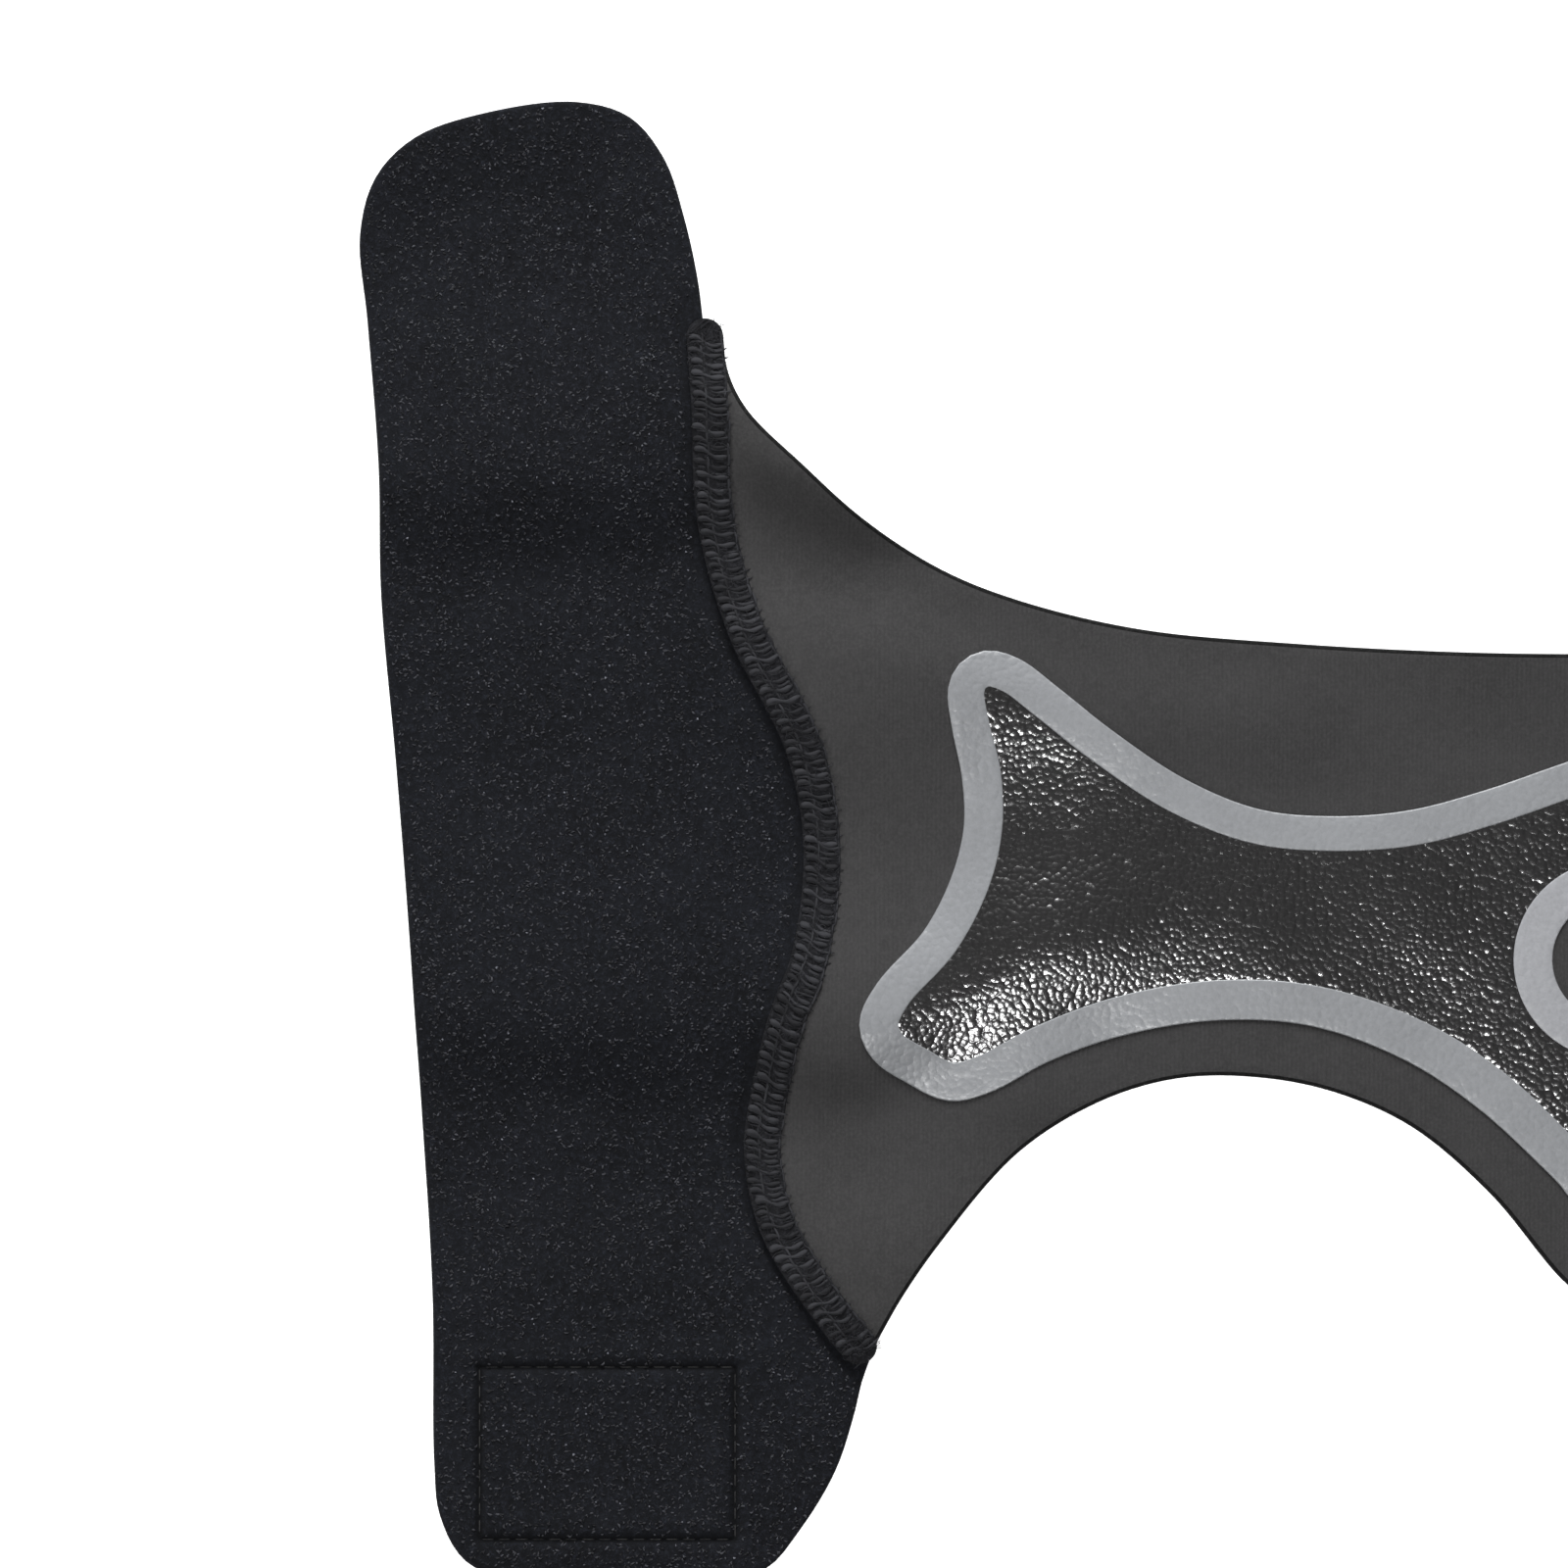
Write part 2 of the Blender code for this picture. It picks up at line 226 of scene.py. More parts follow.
CREASES = (
    Fold(0.872, 0.738, -24, 0.085, 0.036, 0.036, 0.56),
    Fold(0.790, 0.690, -13, 0.090, 0.012, 0.030, -0.10),
    Fold(0.846, 0.345, -18, 0.060, 0.030, 0.022, 0.16),
    Fold(0.905, 0.262, 62, 0.040, 0.022, 0.030, 0.10),
    Fold(0.957, 0.786, -48, 0.075, 0.042, 0.030, 0.42),
    Fold(0.640, 0.331, 14, 0.070, 0.042, 0.080, 0.30),
    Fold(0.831, 0.371, 26, 0.172, 0.048, 0.139, 0.33),
    Fold(0.403, 0.386, 120, 0.246, 0.123, 0.118, 0.24),
    Fold(1.245, 0.640, 8, 0.090, 0.020, 0.035, 0.10),
    Fold(1.120, 0.300, -10, 0.080, 0.022, 0.030, 0.10),
    Fold(1.203, 0.748, 2, 0.230, 0.062, 0.150, 0.14),
    Fold(1.149, 0.388, -3, 0.240, 0.066, 0.170, 0.20),
)
# The threads of one stitch of the flat-lock seam, those that cross it from the strap to the
# panel and the rails from the top down
THREADS = {
    "cover": (
        Turn(-3.10, 0.02, -0.12, 0.26), Turn(-2.60, 0.06, 0.14, 0.52), Turn(-1.95, 0.04, 0.24, 0.58),
        Turn(-1.30, -0.12, 0.16, 0.48), Turn(-0.55, -0.62, -0.12, 0.22), Turn(0.25, -1.10, -0.10, 0.22),
        Turn(0.95, -1.34, 0.14, 0.44), Turn(1.70, -1.38, 0.20, 0.52), Turn(2.45, -1.34, 0.06, 0.40),
        Turn(3.05, -1.28, -0.16, 0.16),
    ),
    "second": (
        Turn(-2.70, -0.66, -0.16, 0.20), Turn(-1.80, -0.74, -0.02, 0.30), Turn(-0.90, -1.02, -0.10, 0.24),
        Turn(0.00, -1.70, -0.20, 0.18), Turn(0.90, -2.06, -0.06, 0.28), Turn(1.90, -2.12, 0.00, 0.32),
        Turn(2.90, -2.06, -0.14, 0.20), Turn(3.90, -1.92, -0.42, 0.08),
    ),
    "left rail": (
        Turn(-0.75, 1.15, -0.10, 0.12), Turn(-0.62, 0.50, 0.02, 0.22), Turn(-0.62, -0.50, 0.02, 0.22),
        Turn(-0.75, -1.15, -0.10, 0.12),
    ),
    "edge": (
        Turn(2.85, 1.20, -0.18, 0.14), Turn(3.05, 0.45, -0.08, 0.22), Turn(3.05, -0.45, -0.08, 0.22),
        Turn(2.85, -1.20, -0.18, 0.14),
    ),
    "below": (
        Turn(-1.60, 0.30, -2.56, 0.18), Turn(-0.50, 0.10, -2.52, 0.20), Turn(0.50, -0.10, -2.52, 0.20),
        Turn(1.60, -0.30, -2.56, 0.18),
    ),
}


def level(up: float) -> float:
    """Y of a share of the height above the lowest point, with the brace's middle at 0."""
    return (up - 0.5) * SIZES.height


def from_axis(place: Place | Run | Fold) -> Point:
    """X and Y on the left half of a place that is measured outwards from the heel axis."""
    return (-place.across * SIZES.seam_reach, level(place.up))


def from_top_end(place: Place) -> Point:
    """X and Y of a place that is measured by the upper ear's width from the seam's top end."""
    return (-SIZES.seam_reach - place.across * SIZES.upper_ear, level(place.up))


def from_bottom_end(place: Place) -> Point:
    """X and Y of a place that is measured by the lower ear's width from the seam's bottom end."""
    return (from_axis(SEAM_LINE[-1])[0] - place.across * SIZES.lower_ear, level(place.up))


class Curve:
    """A smooth flat line through chosen points, sampled at even steps.

    A third number of each point, such as a width, is carried along smoothly. SLACK is how
    much nearer than asked a point of a shifted line may come, and LOOK is how far before and
    after a place its direction is read.
    """

    SLACK = 0.02 * MM
    LOOK = 1.5 * MM

    def __init__(self, points: Sequence[Sequence[float]], step: float) -> None:
        """Sample the line.

        Args:
            points: the points that it passes through.
            step: distance between samples in metres.
        """
        self.knots = [tuple(point) for point in points]
        self.step = step
        self.samples = self._sampled()
        self.points = [point[:2] for point in self.samples]
        chain = np.array(self.points)
        self.reach = np.concatenate([[0], np.cumsum(np.linalg.norm(np.diff(chain, axis=0), axis=1))])

    @property
    def length(self) -> float:
        """The line's length in metres."""
        return float(self.reach[-1])

    @staticmethod
    def beyond(points: Sequence[Sequence[float]], end: int, near: int) -> tuple:
        """Helper point past an end.

        Args:
            points: the line's points.
            end: index of the end.
            near: index of its neighbour.

        Returns:
            The neighbour's mirror image at the heel axis, or else a point straight on.
        """
        if abs(points[end][0]) < TINY:
            return (-points[near][0], *points[near][1:])
        return tuple(2 * a - b for a, b in zip(points[end], points[near]))

    def _sampled(self) -> list[tuple]:
        """Sample the centripetal Catmull-Rom line.

        Returns:
            Points about a step apart, with the last knot.
        """
        chain = np.array([self.beyond(self.knots, 0, 1), *self.knots, self.beyond(self.knots, -1, -2)])
        line: list[tuple] = []
        for span in zip(chain, chain[1:], chain[2:], chain[3:]):
            times = np.cumsum([0.0] + [np.linalg.norm(b - a) ** 0.5 for a, b in zip(span, span[1:])])
            count = max(1, round(float(np.linalg.norm(span[2] - span[1])) / self.step))
            for index in range(count):
                at = times[1] + (times[2] - times[1]) * index / count
                line.append(tuple(float(v) for v in self._on_span(span, times, at)))
        return [*line, self.knots[-1]]

    @staticmethod
    def _on_span(span: Sequence[np.ndarray], times: np.ndarray, at: float) -> np.ndarray:
        """Point of one span of the line.

        Args:
            span: its four points.
            times: the time of each.
            at: a time between the two middle ones.

        Returns:
            The point.
        """

        def mix(low: int, high: int, start: np.ndarray, stop: np.ndarray) -> np.ndarray:
            """Straight mix of two points between two times."""
            return start + (stop - start) * (at - times[low]) / (times[high] - times[low])

        first, second, third = (mix(i, i + 1, span[i], span[i + 1]) for i in range(3))
        return mix(1, 2, mix(0, 2, first, second), mix(1, 3, second, third))

    def shifted(self, distance: float | np.ndarray) -> list[Point]:
        """The line moved sideways without loops.

        Args:
            distance: metres to its left, one for all points or one for each.

        Returns:
            The moved points, kept on the left half.
        """
        line = np.array(self.points)
        chain = np.array([self.beyond(self.points, 0, 1), *self.points, self.beyond(self.points, -1, -2)])
        run = chain[2:] - chain[:-2]
        run /= np.linalg.norm(run, axis=1)[:, None]
        wide = np.broadcast_to(distance, len(line))
        moved = line + np.stack([-run[:, 1], run[:, 0]], axis=1) * wide[:, None]
        gaps = np.linalg.norm(moved[:, None] - line[None], axis=2).min(axis=1)
        kept = moved[gaps > np.abs(wide) - self.SLACK]
        return [(min(float(x), 0.0), float(y)) for x, y in kept]

    def beside(self, along: np.ndarray, across: np.ndarray) -> tuple[np.ndarray, np.ndarray]:
        """Points given by their distance along the line and to its left.

        Args:
            along: metres from the line's start.
            across: metres to the left.

        Returns:
            X and Y of each.
        """
        chain = np.array(self.points)
        x, y = (np.interp(along, self.reach, chain[:, axis]) for axis in (0, 1))
        ahead = np.minimum(along + self.LOOK, self.length)
        behind = np.maximum(along - self.LOOK, 0)
        east, north = (
            np.interp(ahead, self.reach, chain[:, axis]) - np.interp(behind, self.reach, chain[:, axis])
            for axis in (0, 1)
        )
        size = np.hypot(east, north)
        return x - north / size * across, y + east / size * across

    def distance(self, x: np.ndarray, y: np.ndarray) -> np.ndarray:
        """Distance of points to the line.

        Args:
            x: X of each.
            y: Y of each.

        Returns:
            Distances in metres.
        """
        near = np.full(len(x), np.inf)
        for px, py in self.points:
            near = np.minimum(near, np.hypot(x - px, y - py))
        return near


def arc(centre: Point, radius: float, start: float, stop: float, steps: int) -> list[Point]:
    """Points of an arc between two angles in degrees, a number of straight steps apart."""
    turns = np.radians(np.linspace(start, stop, steps + 1))
    return [(centre[0] + radius * math.cos(t), centre[1] + radius * math.sin(t)) for t in turns]


def half_ring(radius: float, start: float, stop: float) -> list[Point]:
    """Half circle round the ankle ring's centre, with both its ends exactly on the heel axis."""
    points = arc(from_axis(RING_CENTRE), radius, start, stop, RING_STEPS)
    return [(0.0, points[0][1]), *points[1:-1], (0.0, points[-1][1])]


def inside(points: np.ndarray, outline: Sequence[Point]) -> np.ndarray:
    """Which points lie inside an outline.

    Args:
        points: flat points, count by 2.
        outline: the closed outline.

    Returns:
        A mask.
    """
    held = np.zeros(len(points), bool)
    for (ax, ay), (bx, by) in zip(outline, [*outline[1:], outline[0]]):
        if ay != by:
            crosses = (ay > points[:, 1]) != (by > points[:, 1])
            held ^= crosses & (points[:, 0] < (bx - ax) * (points[:, 1] - ay) / (by - ay) + ax)
    return held


SEAM_STEP, BAND_STEP, EDGE_STEP = 1.5 * MM, 1.2 * MM, 2.0 * MM
SEAM = Curve([from_axis(place) for place in SEAM_LINE], SEAM_STEP)
BAND = Curve([(*from_axis(run), run.wide * SIZES.band_wide / 2) for run in BAND_LINE], BAND_STEP)
BAND_HALF = np.array([sample[2] for sample in BAND.samples])


class Drape:
    """Height of the cloth's underside above the surface that it lies on.

    A small ripple swings by RIPPLE to both sides, and RIPPLE_X, RIPPLE_Y and RIPPLE_SLANT set
    how long its waves are and how they slant.
    """

    RIPPLE = 0.12 * MM
    RIPPLE_X = 5.1 * MM
    RIPPLE_Y = 7.3 * MM
    RIPPLE_SLANT = 13 * MM

    def __init__(self) -> None:
        """Place the ledge over the hook tape."""
        self.patch = from_bottom_end(PATCH_CENTRE)

    def ledge(self, x: np.ndarray, y: np.ndarray) -> np.ndarray:
        """How much the hook tape holds the cloth up.

        Args:
            x: X on the left half.
            y: Y.

        Returns:
            1 over the tape and its rim, falling to 0.
        """
        past_x = np.maximum(np.abs(x - self.patch[0]) - SIZES.patch_wide / 2 - SIZES.ledge_rim, 0)
        past_y = np.maximum(np.abs(y - self.patch[1]) - SIZES.patch_tall / 2 - SIZES.ledge_rim, 0)
        share = np.clip(1 - np.hypot(past_x, past_y) / SIZES.ledge_ease, 0, 1)
        return share * share * (3 - 2 * share)

    def hill(self, fold: Fold, x: np.ndarray, y: np.ndarray) -> np.ndarray:
        """Height of one fold.

        Args:
            fold: the fold.
            x: X on the left half.
            y: Y.

        Returns:
            Its height at each point, in metres.
        """
        centre = from_axis(fold)
        turn = math.radians(fold.turn)
        east, north = x - centre[0], y - centre[1]
        along = (east * math.cos(turn) + north * math.sin(turn)) / (fold.long * SIZES.height)
        aside = (north * math.cos(turn) - east * math.sin(turn)) / SIZES.height
        aside = aside / np.where(aside < 0, fold.near, fold.far)
        share = np.minimum(np.hypot(along, aside), 1)
        return fold.rise * SIZES.fold_rise * np.cos(math.pi / 2 * share) ** 2

    def __call__(self, x: np.ndarray, y: np.ndarray) -> np.ndarray:
        """Height of the underside.

        Args:
            x: X of each point.
            y: Y of each point.

        Returns:
            Heights in metres, alike on both halves.
        """
        x, y = -np.abs(np.asarray(x, float)), np.asarray(y, float)
        waves = sum(self.hill(fold, x, y) for fold in (*FOLDS, *CREASES))
        slanted = np.sin(x / self.RIPPLE_X + y / self.RIPPLE_SLANT)
        ripple = self.RIPPLE * (slanted * np.sin(y / self.RIPPLE_Y) + 1)
        over = self.ledge(x, y)
        return over * (SIZES.patch + SIZES.gap) + (1 - over) * np.maximum(waves + ripple, 0)


DRAPE = Drape()


class Shader:
    """A node tree with short ways to add and join nodes.

    A Mix node of colours takes its share and its two colours from MIX_INPUTS and puts out
    MIX_OUTPUT.
    """

    MIX_INPUTS = (0, 6, 7)
    MIX_OUTPUT = 2

    def __init__(self, tree: bpy.types.NodeTree) -> None:
        """Wrap a node tree to build in."""
        self.tree = tree

    def add(self, kind: str, settings: dict | None = None, **inputs: object) -> bpy.types.Node:
        """Add a node.

        Args:
            kind: its type, without the ShaderNode prefix.
            settings: values of the node's own properties.
            **inputs: values or sockets of its inputs, with _ for a space in a name.

        Returns:
            The new node.
        """
        node = self.tree.nodes.new(f"ShaderNode{kind}")
        for name, value in (settings or {}).items():
            setattr(node, name, value)
        for name, value in inputs.items():
            self.feed(node, name.replace("_", " "), value)
        return node

    def feed(self, node: bpy.types.Node, name: str, value: object) -> None:
        """Set or link one input.

        Args:
            node: the node.
            name: the input's name or index as text.
            value: a socket to link, or a value to set.
        """
        socket = node.inputs[int(name)] if name.isdigit() else node.inputs[name]
        if isinstance(value, bpy.types.NodeSocket):
            self.tree.links.new(value, socket)
        elif isinstance(value, tuple) and len(value) == 3 and socket.type == "RGBA":
            socket.default_value = (*value, 1.0)
        else:
            socket.default_value = value

    def calculate(self, operation: str, *values: object) -> bpy.types.NodeSocket:
        """Result of a Math node.

        Args:
            operation: its operation.
            *values: its inputs in order.

        Returns:
            The result's socket.
        """
        node = self.add("Math", {"operation": operation})
        for index, value in enumerate(values):
            self.feed(node, str(index), value)
        return node.outputs[0]

    def spread(self, value: object, bounds: Span, results: Span = (0.0, 1.0)) -> bpy.types.NodeSocket:
        """A value mapped from one range to another and kept inside it.

        Args:
            value: the value's socket.
            bounds: range that it comes in.
            results: range that it leaves in.

        Returns:
            The result's socket.
        """
        node = self.add("MapRange", Value=value, From_Min=bounds[0], From_Max=bounds[1])
        self.feed(node, "To Min", results[0])
        self.feed(node, "To Max", results[1])
        return node.outputs[0]

    def blend(self, share: object, low: object, high: object) -> bpy.types.NodeSocket:
        """Mix of two colours.

        Args:
            share: 0 for the first, 1 for the second.
            low: first colour or socket.
            high: second colour or socket.

        Returns:
            The mixed colour's socket.
        """
        node = self.add("Mix", {"data_type": "RGBA"})
        for index, value in zip(self.MIX_INPUTS, (share, low, high)):
            self.feed(node, str(index), value)
        return node.outputs[self.MIX_OUTPUT]

    def effect(self, tree: bpy.types.NodeTree, place: object, grain: Grain) -> bpy.types.Node:
        """Add a shared effect at a coordinate, with the size and depth of its grain."""
        return self.add("Group", {"node_tree": tree}, Coordinate=place, Size=grain.size, Depth=grain.depth)

    def bump(self, bsdf: bpy.types.Node, height: object, strength: float = 1.0) -> None:
        """Feed a height in metres to the normal of a Principled shader."""
        node = self.add("Bump", Height=height, Strength=strength, Distance=1.0)
        self.feed(bsdf, "Normal", node.outputs[0])


def node_group(name: str, inputs: dict[str, float], outputs: Sequence[str]) -> tuple[Shader, dict, dict]:
    """Start a shader node group that reads a coordinate and puts out values.

    Args:
        name: the group's name.
        inputs: names and defaults of its number inputs.
        outputs: names of its number outputs.

    Returns:
        The group's tree, its input sockets and its output sockets by name.
    """
    tree = bpy.data.node_groups.new(name, "ShaderNodeTree")
    tree.interface.new_socket("Coordinate", in_out="INPUT", socket_type="NodeSocketVector")
    for key, value in inputs.items():
        made = tree.interface.new_socket(key, in_out="INPUT", socket_type="NodeSocketFloat")
        made.default_value = value
    for key in outputs:
        tree.interface.new_socket(key, in_out="OUTPUT", socket_type="NodeSocketFloat")
    start, stop = tree.nodes.new("NodeGroupInput"), tree.nodes.new("NodeGroupOutput")
    return Shader(tree), {s.name: s for s in start.outputs}, {s.name: s for s in stop.inputs}


class Effects:
    """Node groups that more than one finish uses.

    GRAIN_PEAKS and BEAD_TOPS are the ranges of the raw patterns that count as their peaks,
    and BEAD_SMOOTH is how softly one bead runs into the next.
    """

    GRAIN_PEAKS = (0.42, 0.66)
    BEAD_TOPS = (0.1, 0.7)
    BEAD_SMOOTH = 0.35

    def __init__(self) -> None:
        """Build every group once."""
        self.mottle = self._mottle()
        self.grain = self._grain()
        self.beads = self._beads()

    @staticmethod
    def _mottle() -> bpy.types.NodeTree:
        """Soft cloudy tone in two sizes.

        Returns:
            The group, which puts out a tone from 0 to 1.
        """
        shader, given, result = node_group("mottle", {"Size": 20 * MM, "Fine Size": 2 * MM}, ["Tone"])
        tones = []
        for key, detail in (("Size", 2.0), ("Fine Size", 3.0)):
            scale = shader.calculate("DIVIDE", 1.0, given[key])
            cloud = shader.add("TexNoise", Vector=given["Coordinate"], Scale=scale, Detail=detail)
            tones.append(cloud.outputs[0])
        fine = shader.calculate("MULTIPLY", tones[1], 0.5)
        shader.tree.links.new(shader.calculate("MULTIPLY_ADD", tones[0], 0.5, fine), result["Tone"])
        return shader.tree

    def _grain(self) -> bpy.types.NodeTree:
        """Fine grain.

        Returns:
            The group, which puts out a height in metres and a mask of the peaks.
        """
        shader, given, result = node_group("grain", {"Size": MM, "Depth": 0.1 * MM}, ["Height", "Peaks"])
        scale = shader.calculate("DIVIDE", 1.0, given["Size"])
        soft = shader.add("TexNoise", Vector=given["Coordinate"], Scale=scale, Detail=2.5, Roughness=0.6)
        shader.tree.links.new(shader.calculate("MULTIPLY", soft.outputs[0], given["Depth"]), result["Height"])
        shader.tree.links.new(shader.spread(soft.outputs[0], self.GRAIN_PEAKS), result["Peaks"])
        return shader.tree

    def _beads(self) -> bpy.types.NodeTree:
        """Rounded beads of uneven size, side by side.

        Returns:
            The group, which puts out a height in metres and a mask of the beads' tops.
        """
        shader, given, result = node_group("beads", {"Size": MM, "Depth": 0.1 * MM}, ["Height", "Tone"])
        scale = shader.calculate("DIVIDE", 1.0, given["Size"])
        cells = shader.add("TexVoronoi", {"feature": "SMOOTH_F1"}, Vector=given["Coordinate"], Scale=scale)
        shader.feed(cells, "Smoothness", self.BEAD_SMOOTH)
        dome = shader.calculate("POWER", cells.outputs["Distance"], 2.0)
        height = shader.calculate("MULTIPLY", shader.calculate("SUBTRACT", 1.0, dome), given["Depth"])
        shader.tree.links.new(height, result["Height"])
        tops = shader.spread(cells.outputs["Distance"], self.BEAD_TOPS, (1.0, 0.0))
        shader.tree.links.new(tops, result["Tone"])
        return shader.tree


EFFECTS = Effects()


@dataclass(frozen=True)
class Finish:
    """A finish: its colour, how rough it is, and how its colour varies.

    light and dark are the factors of its lightest and darkest places, cloud and fine are the
    sizes of those places, and tones is the range of the pattern between the two.
    """

    name: str
    colour: Colour
    rough: float = 0.8
    light: float = 1.25
    dark: float = 0.80
    cloud: float = 20 * MM
    fine: float = 2 * MM
    tones: Span = (0.35, 0.65)

    def surface(self) -> tuple[bpy.types.Material, Shader, bpy.types.Node, bpy.types.NodeSocket]:
        """Start the material.

        Returns:
            The material, its tree, its Principled shader and the object coordinate.
        """
        made = bpy.data.materials.new(self.name)
        made.use_nodes = True
        shader = Shader(made.node_tree)
        bsdf = made.node_tree.nodes["Principled BSDF"]
        bsdf.inputs["Roughness"].default_value = self.rough
        return made, shader, bsdf, shader.add("TexCoord").outputs["Object"]

    def toned(self, shader: Shader, place: bpy.types.NodeSocket) -> bpy.types.NodeSocket:
        """The colour with cloudy light and dark places.

        Args:
            shader: the material's tree.
            place: the coordinate.

        Returns:
            The colour's socket.
        """
        cloud = shader.add("Group", {"node_tree": EFFECTS.mottle}, Coordinate=place, Size=self.cloud)
        shader.feed(cloud, "Fine Size", self.fine)
        share = shader.spread(cloud.outputs["Tone"], self.tones)
        return shader.blend(share, self.lit(self.dark), self.lit(self.light))

    def lit(self, factor: float) -> Colour:
        """The colour made lighter or darker by a factor."""
        return tuple(channel * factor for channel in self.colour)


@dataclass(frozen=True)
class KnitFinish(Finish):
    """Stretch jersey with fine ribs along Y.

    Blender's wave texture repeats WAVES_PER_TURN times over 2 pi at a scale of 1.
    """

    WAVES_PER_TURN: ClassVar[float] = 20
    rib: float = 0.75 * MM
    rib_depth: float = 0.05 * MM
    rib_wander: float = 1.5
    grain: Grain = Grain(0.5 * MM, 0.10 * MM)
    bump: float = 0.8
    peak_share: float = 0.30
    peak_light: float = 1.9
    sheen: float = 0.06
    sheen_rough: float = 0.5
    specular: float = 0.16

    def material(self) -> bpy.types.Material:
        """Build the material.

        Returns:
            The material.
        """
        made, shader, bsdf, place = self.surface()
        ribs = shader.add("TexWave", {"bands_direction": "X"}, Vector=place, Distortion=self.rib_wander)
        shader.feed(ribs, "Scale", 2 * math.pi / self.WAVES_PER_TURN / self.rib)
        shader.feed(ribs, "Detail Scale", 2.0)
        grain = shader.effect(EFFECTS.grain, place, self.grain)
        height = shader.calculate(
            "MULTIPLY_ADD", ribs.outputs["Fac"], self.rib_depth, grain.outputs["Height"]
        )
        shader.bump(bsdf, height, self.bump)
        toned = self.toned(shader, place)
        peaks = shader.calculate("MULTIPLY", grain.outputs["Peaks"], self.peak_share)
        shader.feed(bsdf, "Base Color", shader.blend(peaks, toned, self.lit(self.peak_light)))
        shader.feed(bsdf, "Sheen Weight", self.sheen)
        shader.feed(bsdf, "Sheen Roughness", self.sheen_rough)
        shader.feed(bsdf, "Specular IOR Level", self.specular)
        return made


@dataclass(frozen=True)
class FleeceFinish(Finish):
    """The matted ground that a loop pile stands on, with painted shade in the grooves and the dip that the
    strap's relief marks.
    """

    grain: Grain = Grain(0.85 * MM, 0.18 * MM)
    fuzz: Grain = Grain(0.30 * MM, 0.10 * MM)
    bump: float = 0.9
    peak_light: float = 4.0
    # factor of the painted shade in the grooves and the dip
    pressed_light: float = 0.45
    specular: float = 0.15

    def material(self) -> bpy.types.Material:
        """Build the material.

        Returns:
            The material.
        """
        made, shader, bsdf, place = self.surface()
        grain, fuzz = (shader.effect(EFFECTS.grain, place, each) for each in (self.grain, self.fuzz))
        shader.bump(bsdf, shader.calculate("ADD", grain.outputs["Height"], fuzz.outputs["Height"]), self.bump)
        toned = self.toned(shader, place)
        peaks = shader.calculate("MULTIPLY", grain.outputs["Peaks"], fuzz.outputs["Peaks"])
        raised = shader.blend(peaks, toned, self.lit(self.peak_light))
        # painted shade: a mask of the grooves and the dip darkens the colour where shade falls
        hollow = shader.add("Attribute", {"attribute_name": "hollow"})
        shaded = shader.blend(hollow.outputs["Fac"], raised, self.lit(self.pressed_light))
        shader.feed(bsdf, "Base Color", shaded)
        shader.feed(bsdf, "Specular IOR Level", self.specular)
        return made


@dataclass(frozen=True)
class FibreFinish(Finish):
    """Thread or pile whose own tone attribute makes some strands brighter."""

    bright: Colour = (0.2, 0.2, 0.22)
    specular: float = 0.3
    fuzz: Grain = Grain(0.25 * MM, 0.08 * MM)
    bump: float = 0.6

    def material(self) -> bpy.types.Material:
        """Build the material.

        Returns:
            The material.
        """
        made, shader, bsdf, place = self.surface()
        tone = shader.add("Attribute", {"attribute_name": "tone"})
        fuzz = shader.effect(EFFECTS.grain, place, self.fuzz)
        shader.bump(bsdf, fuzz.outputs["Height"], self.bump)
        toned = self.toned(shader, place)
        shader.feed(bsdf, "Base Color", shader.blend(tone.outputs["Fac"], toned, self.bright))
        shader.feed(bsdf, "Specular IOR Level", self.specular)
        return made


@dataclass(frozen=True)
class SatinFinish(Finish):
    """Printed silicone with a satin face and a fine grain.

    rougher and smoother are the factors of its roughness off and on the grain's peaks.
    """

    grain: Grain = Grain(0.6 * MM, 0.04 * MM)
    bead: Grain = Grain(1.1 * MM, 0.08 * MM)
    peak_share: float = 0.35
    peak_light: float = 1.25
    rougher: float = 1.15
    smoother: float = 0.8

    def material(self) -> bpy.types.Material:
        """Build the material.

        Returns:
            The material.
        """
        made, shader, bsdf, place = self.surface()
        grain = shader.effect(EFFECTS.grain, place, self.grain)
        beads = shader.effect(EFFECTS.beads, place, self.bead)
        shader.bump(bsdf, shader.calculate("ADD", beads.outputs["Height"], grain.outputs["Height"]))
        toned = self.toned(shader, place)
        peaks = shader.calculate("MULTIPLY", grain.outputs["Peaks"], self.peak_share)
        shader.feed(bsdf, "Base Color", shader.blend(peaks, toned, self.lit(self.peak_light)))
        bounds = (self.rough * self.rougher, self.rough * self.smoother)
        shader.feed(bsdf, "Roughness", shader.spread(grain.outputs["Peaks"], (0.0, 1.0), bounds))
        return made


@dataclass(frozen=True)
class BeadedFinish(Finish):
    """Glossy silicone with small uneven beads that glint."""

    bead: Grain = Grain(0.95 * MM, 0.145 * MM)
    grain: Grain = Grain(0.95 * MM * 0.9, 0.145 * MM * 0.35)
    peak_light: float = 1.6
    ior: float = 2.1

    def material(self) -> bpy.types.Material:
        """Build the material.

        Returns:
            The material.
        """
        made, shader, bsdf, place = self.surface()
        beads = shader.effect(EFFECTS.beads, place, self.bead)
        grain = shader.effect(EFFECTS.grain, place, self.grain)
        shader.bump(bsdf, shader.calculate("ADD", beads.outputs["Height"], grain.outputs["Height"]))
        toned = self.toned(shader, place)
        peaks = shader.calculate("MULTIPLY", beads.outputs["Tone"], grain.outputs["Peaks"])
        shader.feed(bsdf, "Base Color", shader.blend(peaks, toned, self.lit(self.peak_light)))
        shader.feed(bsdf, "IOR", self.ior)
        return made


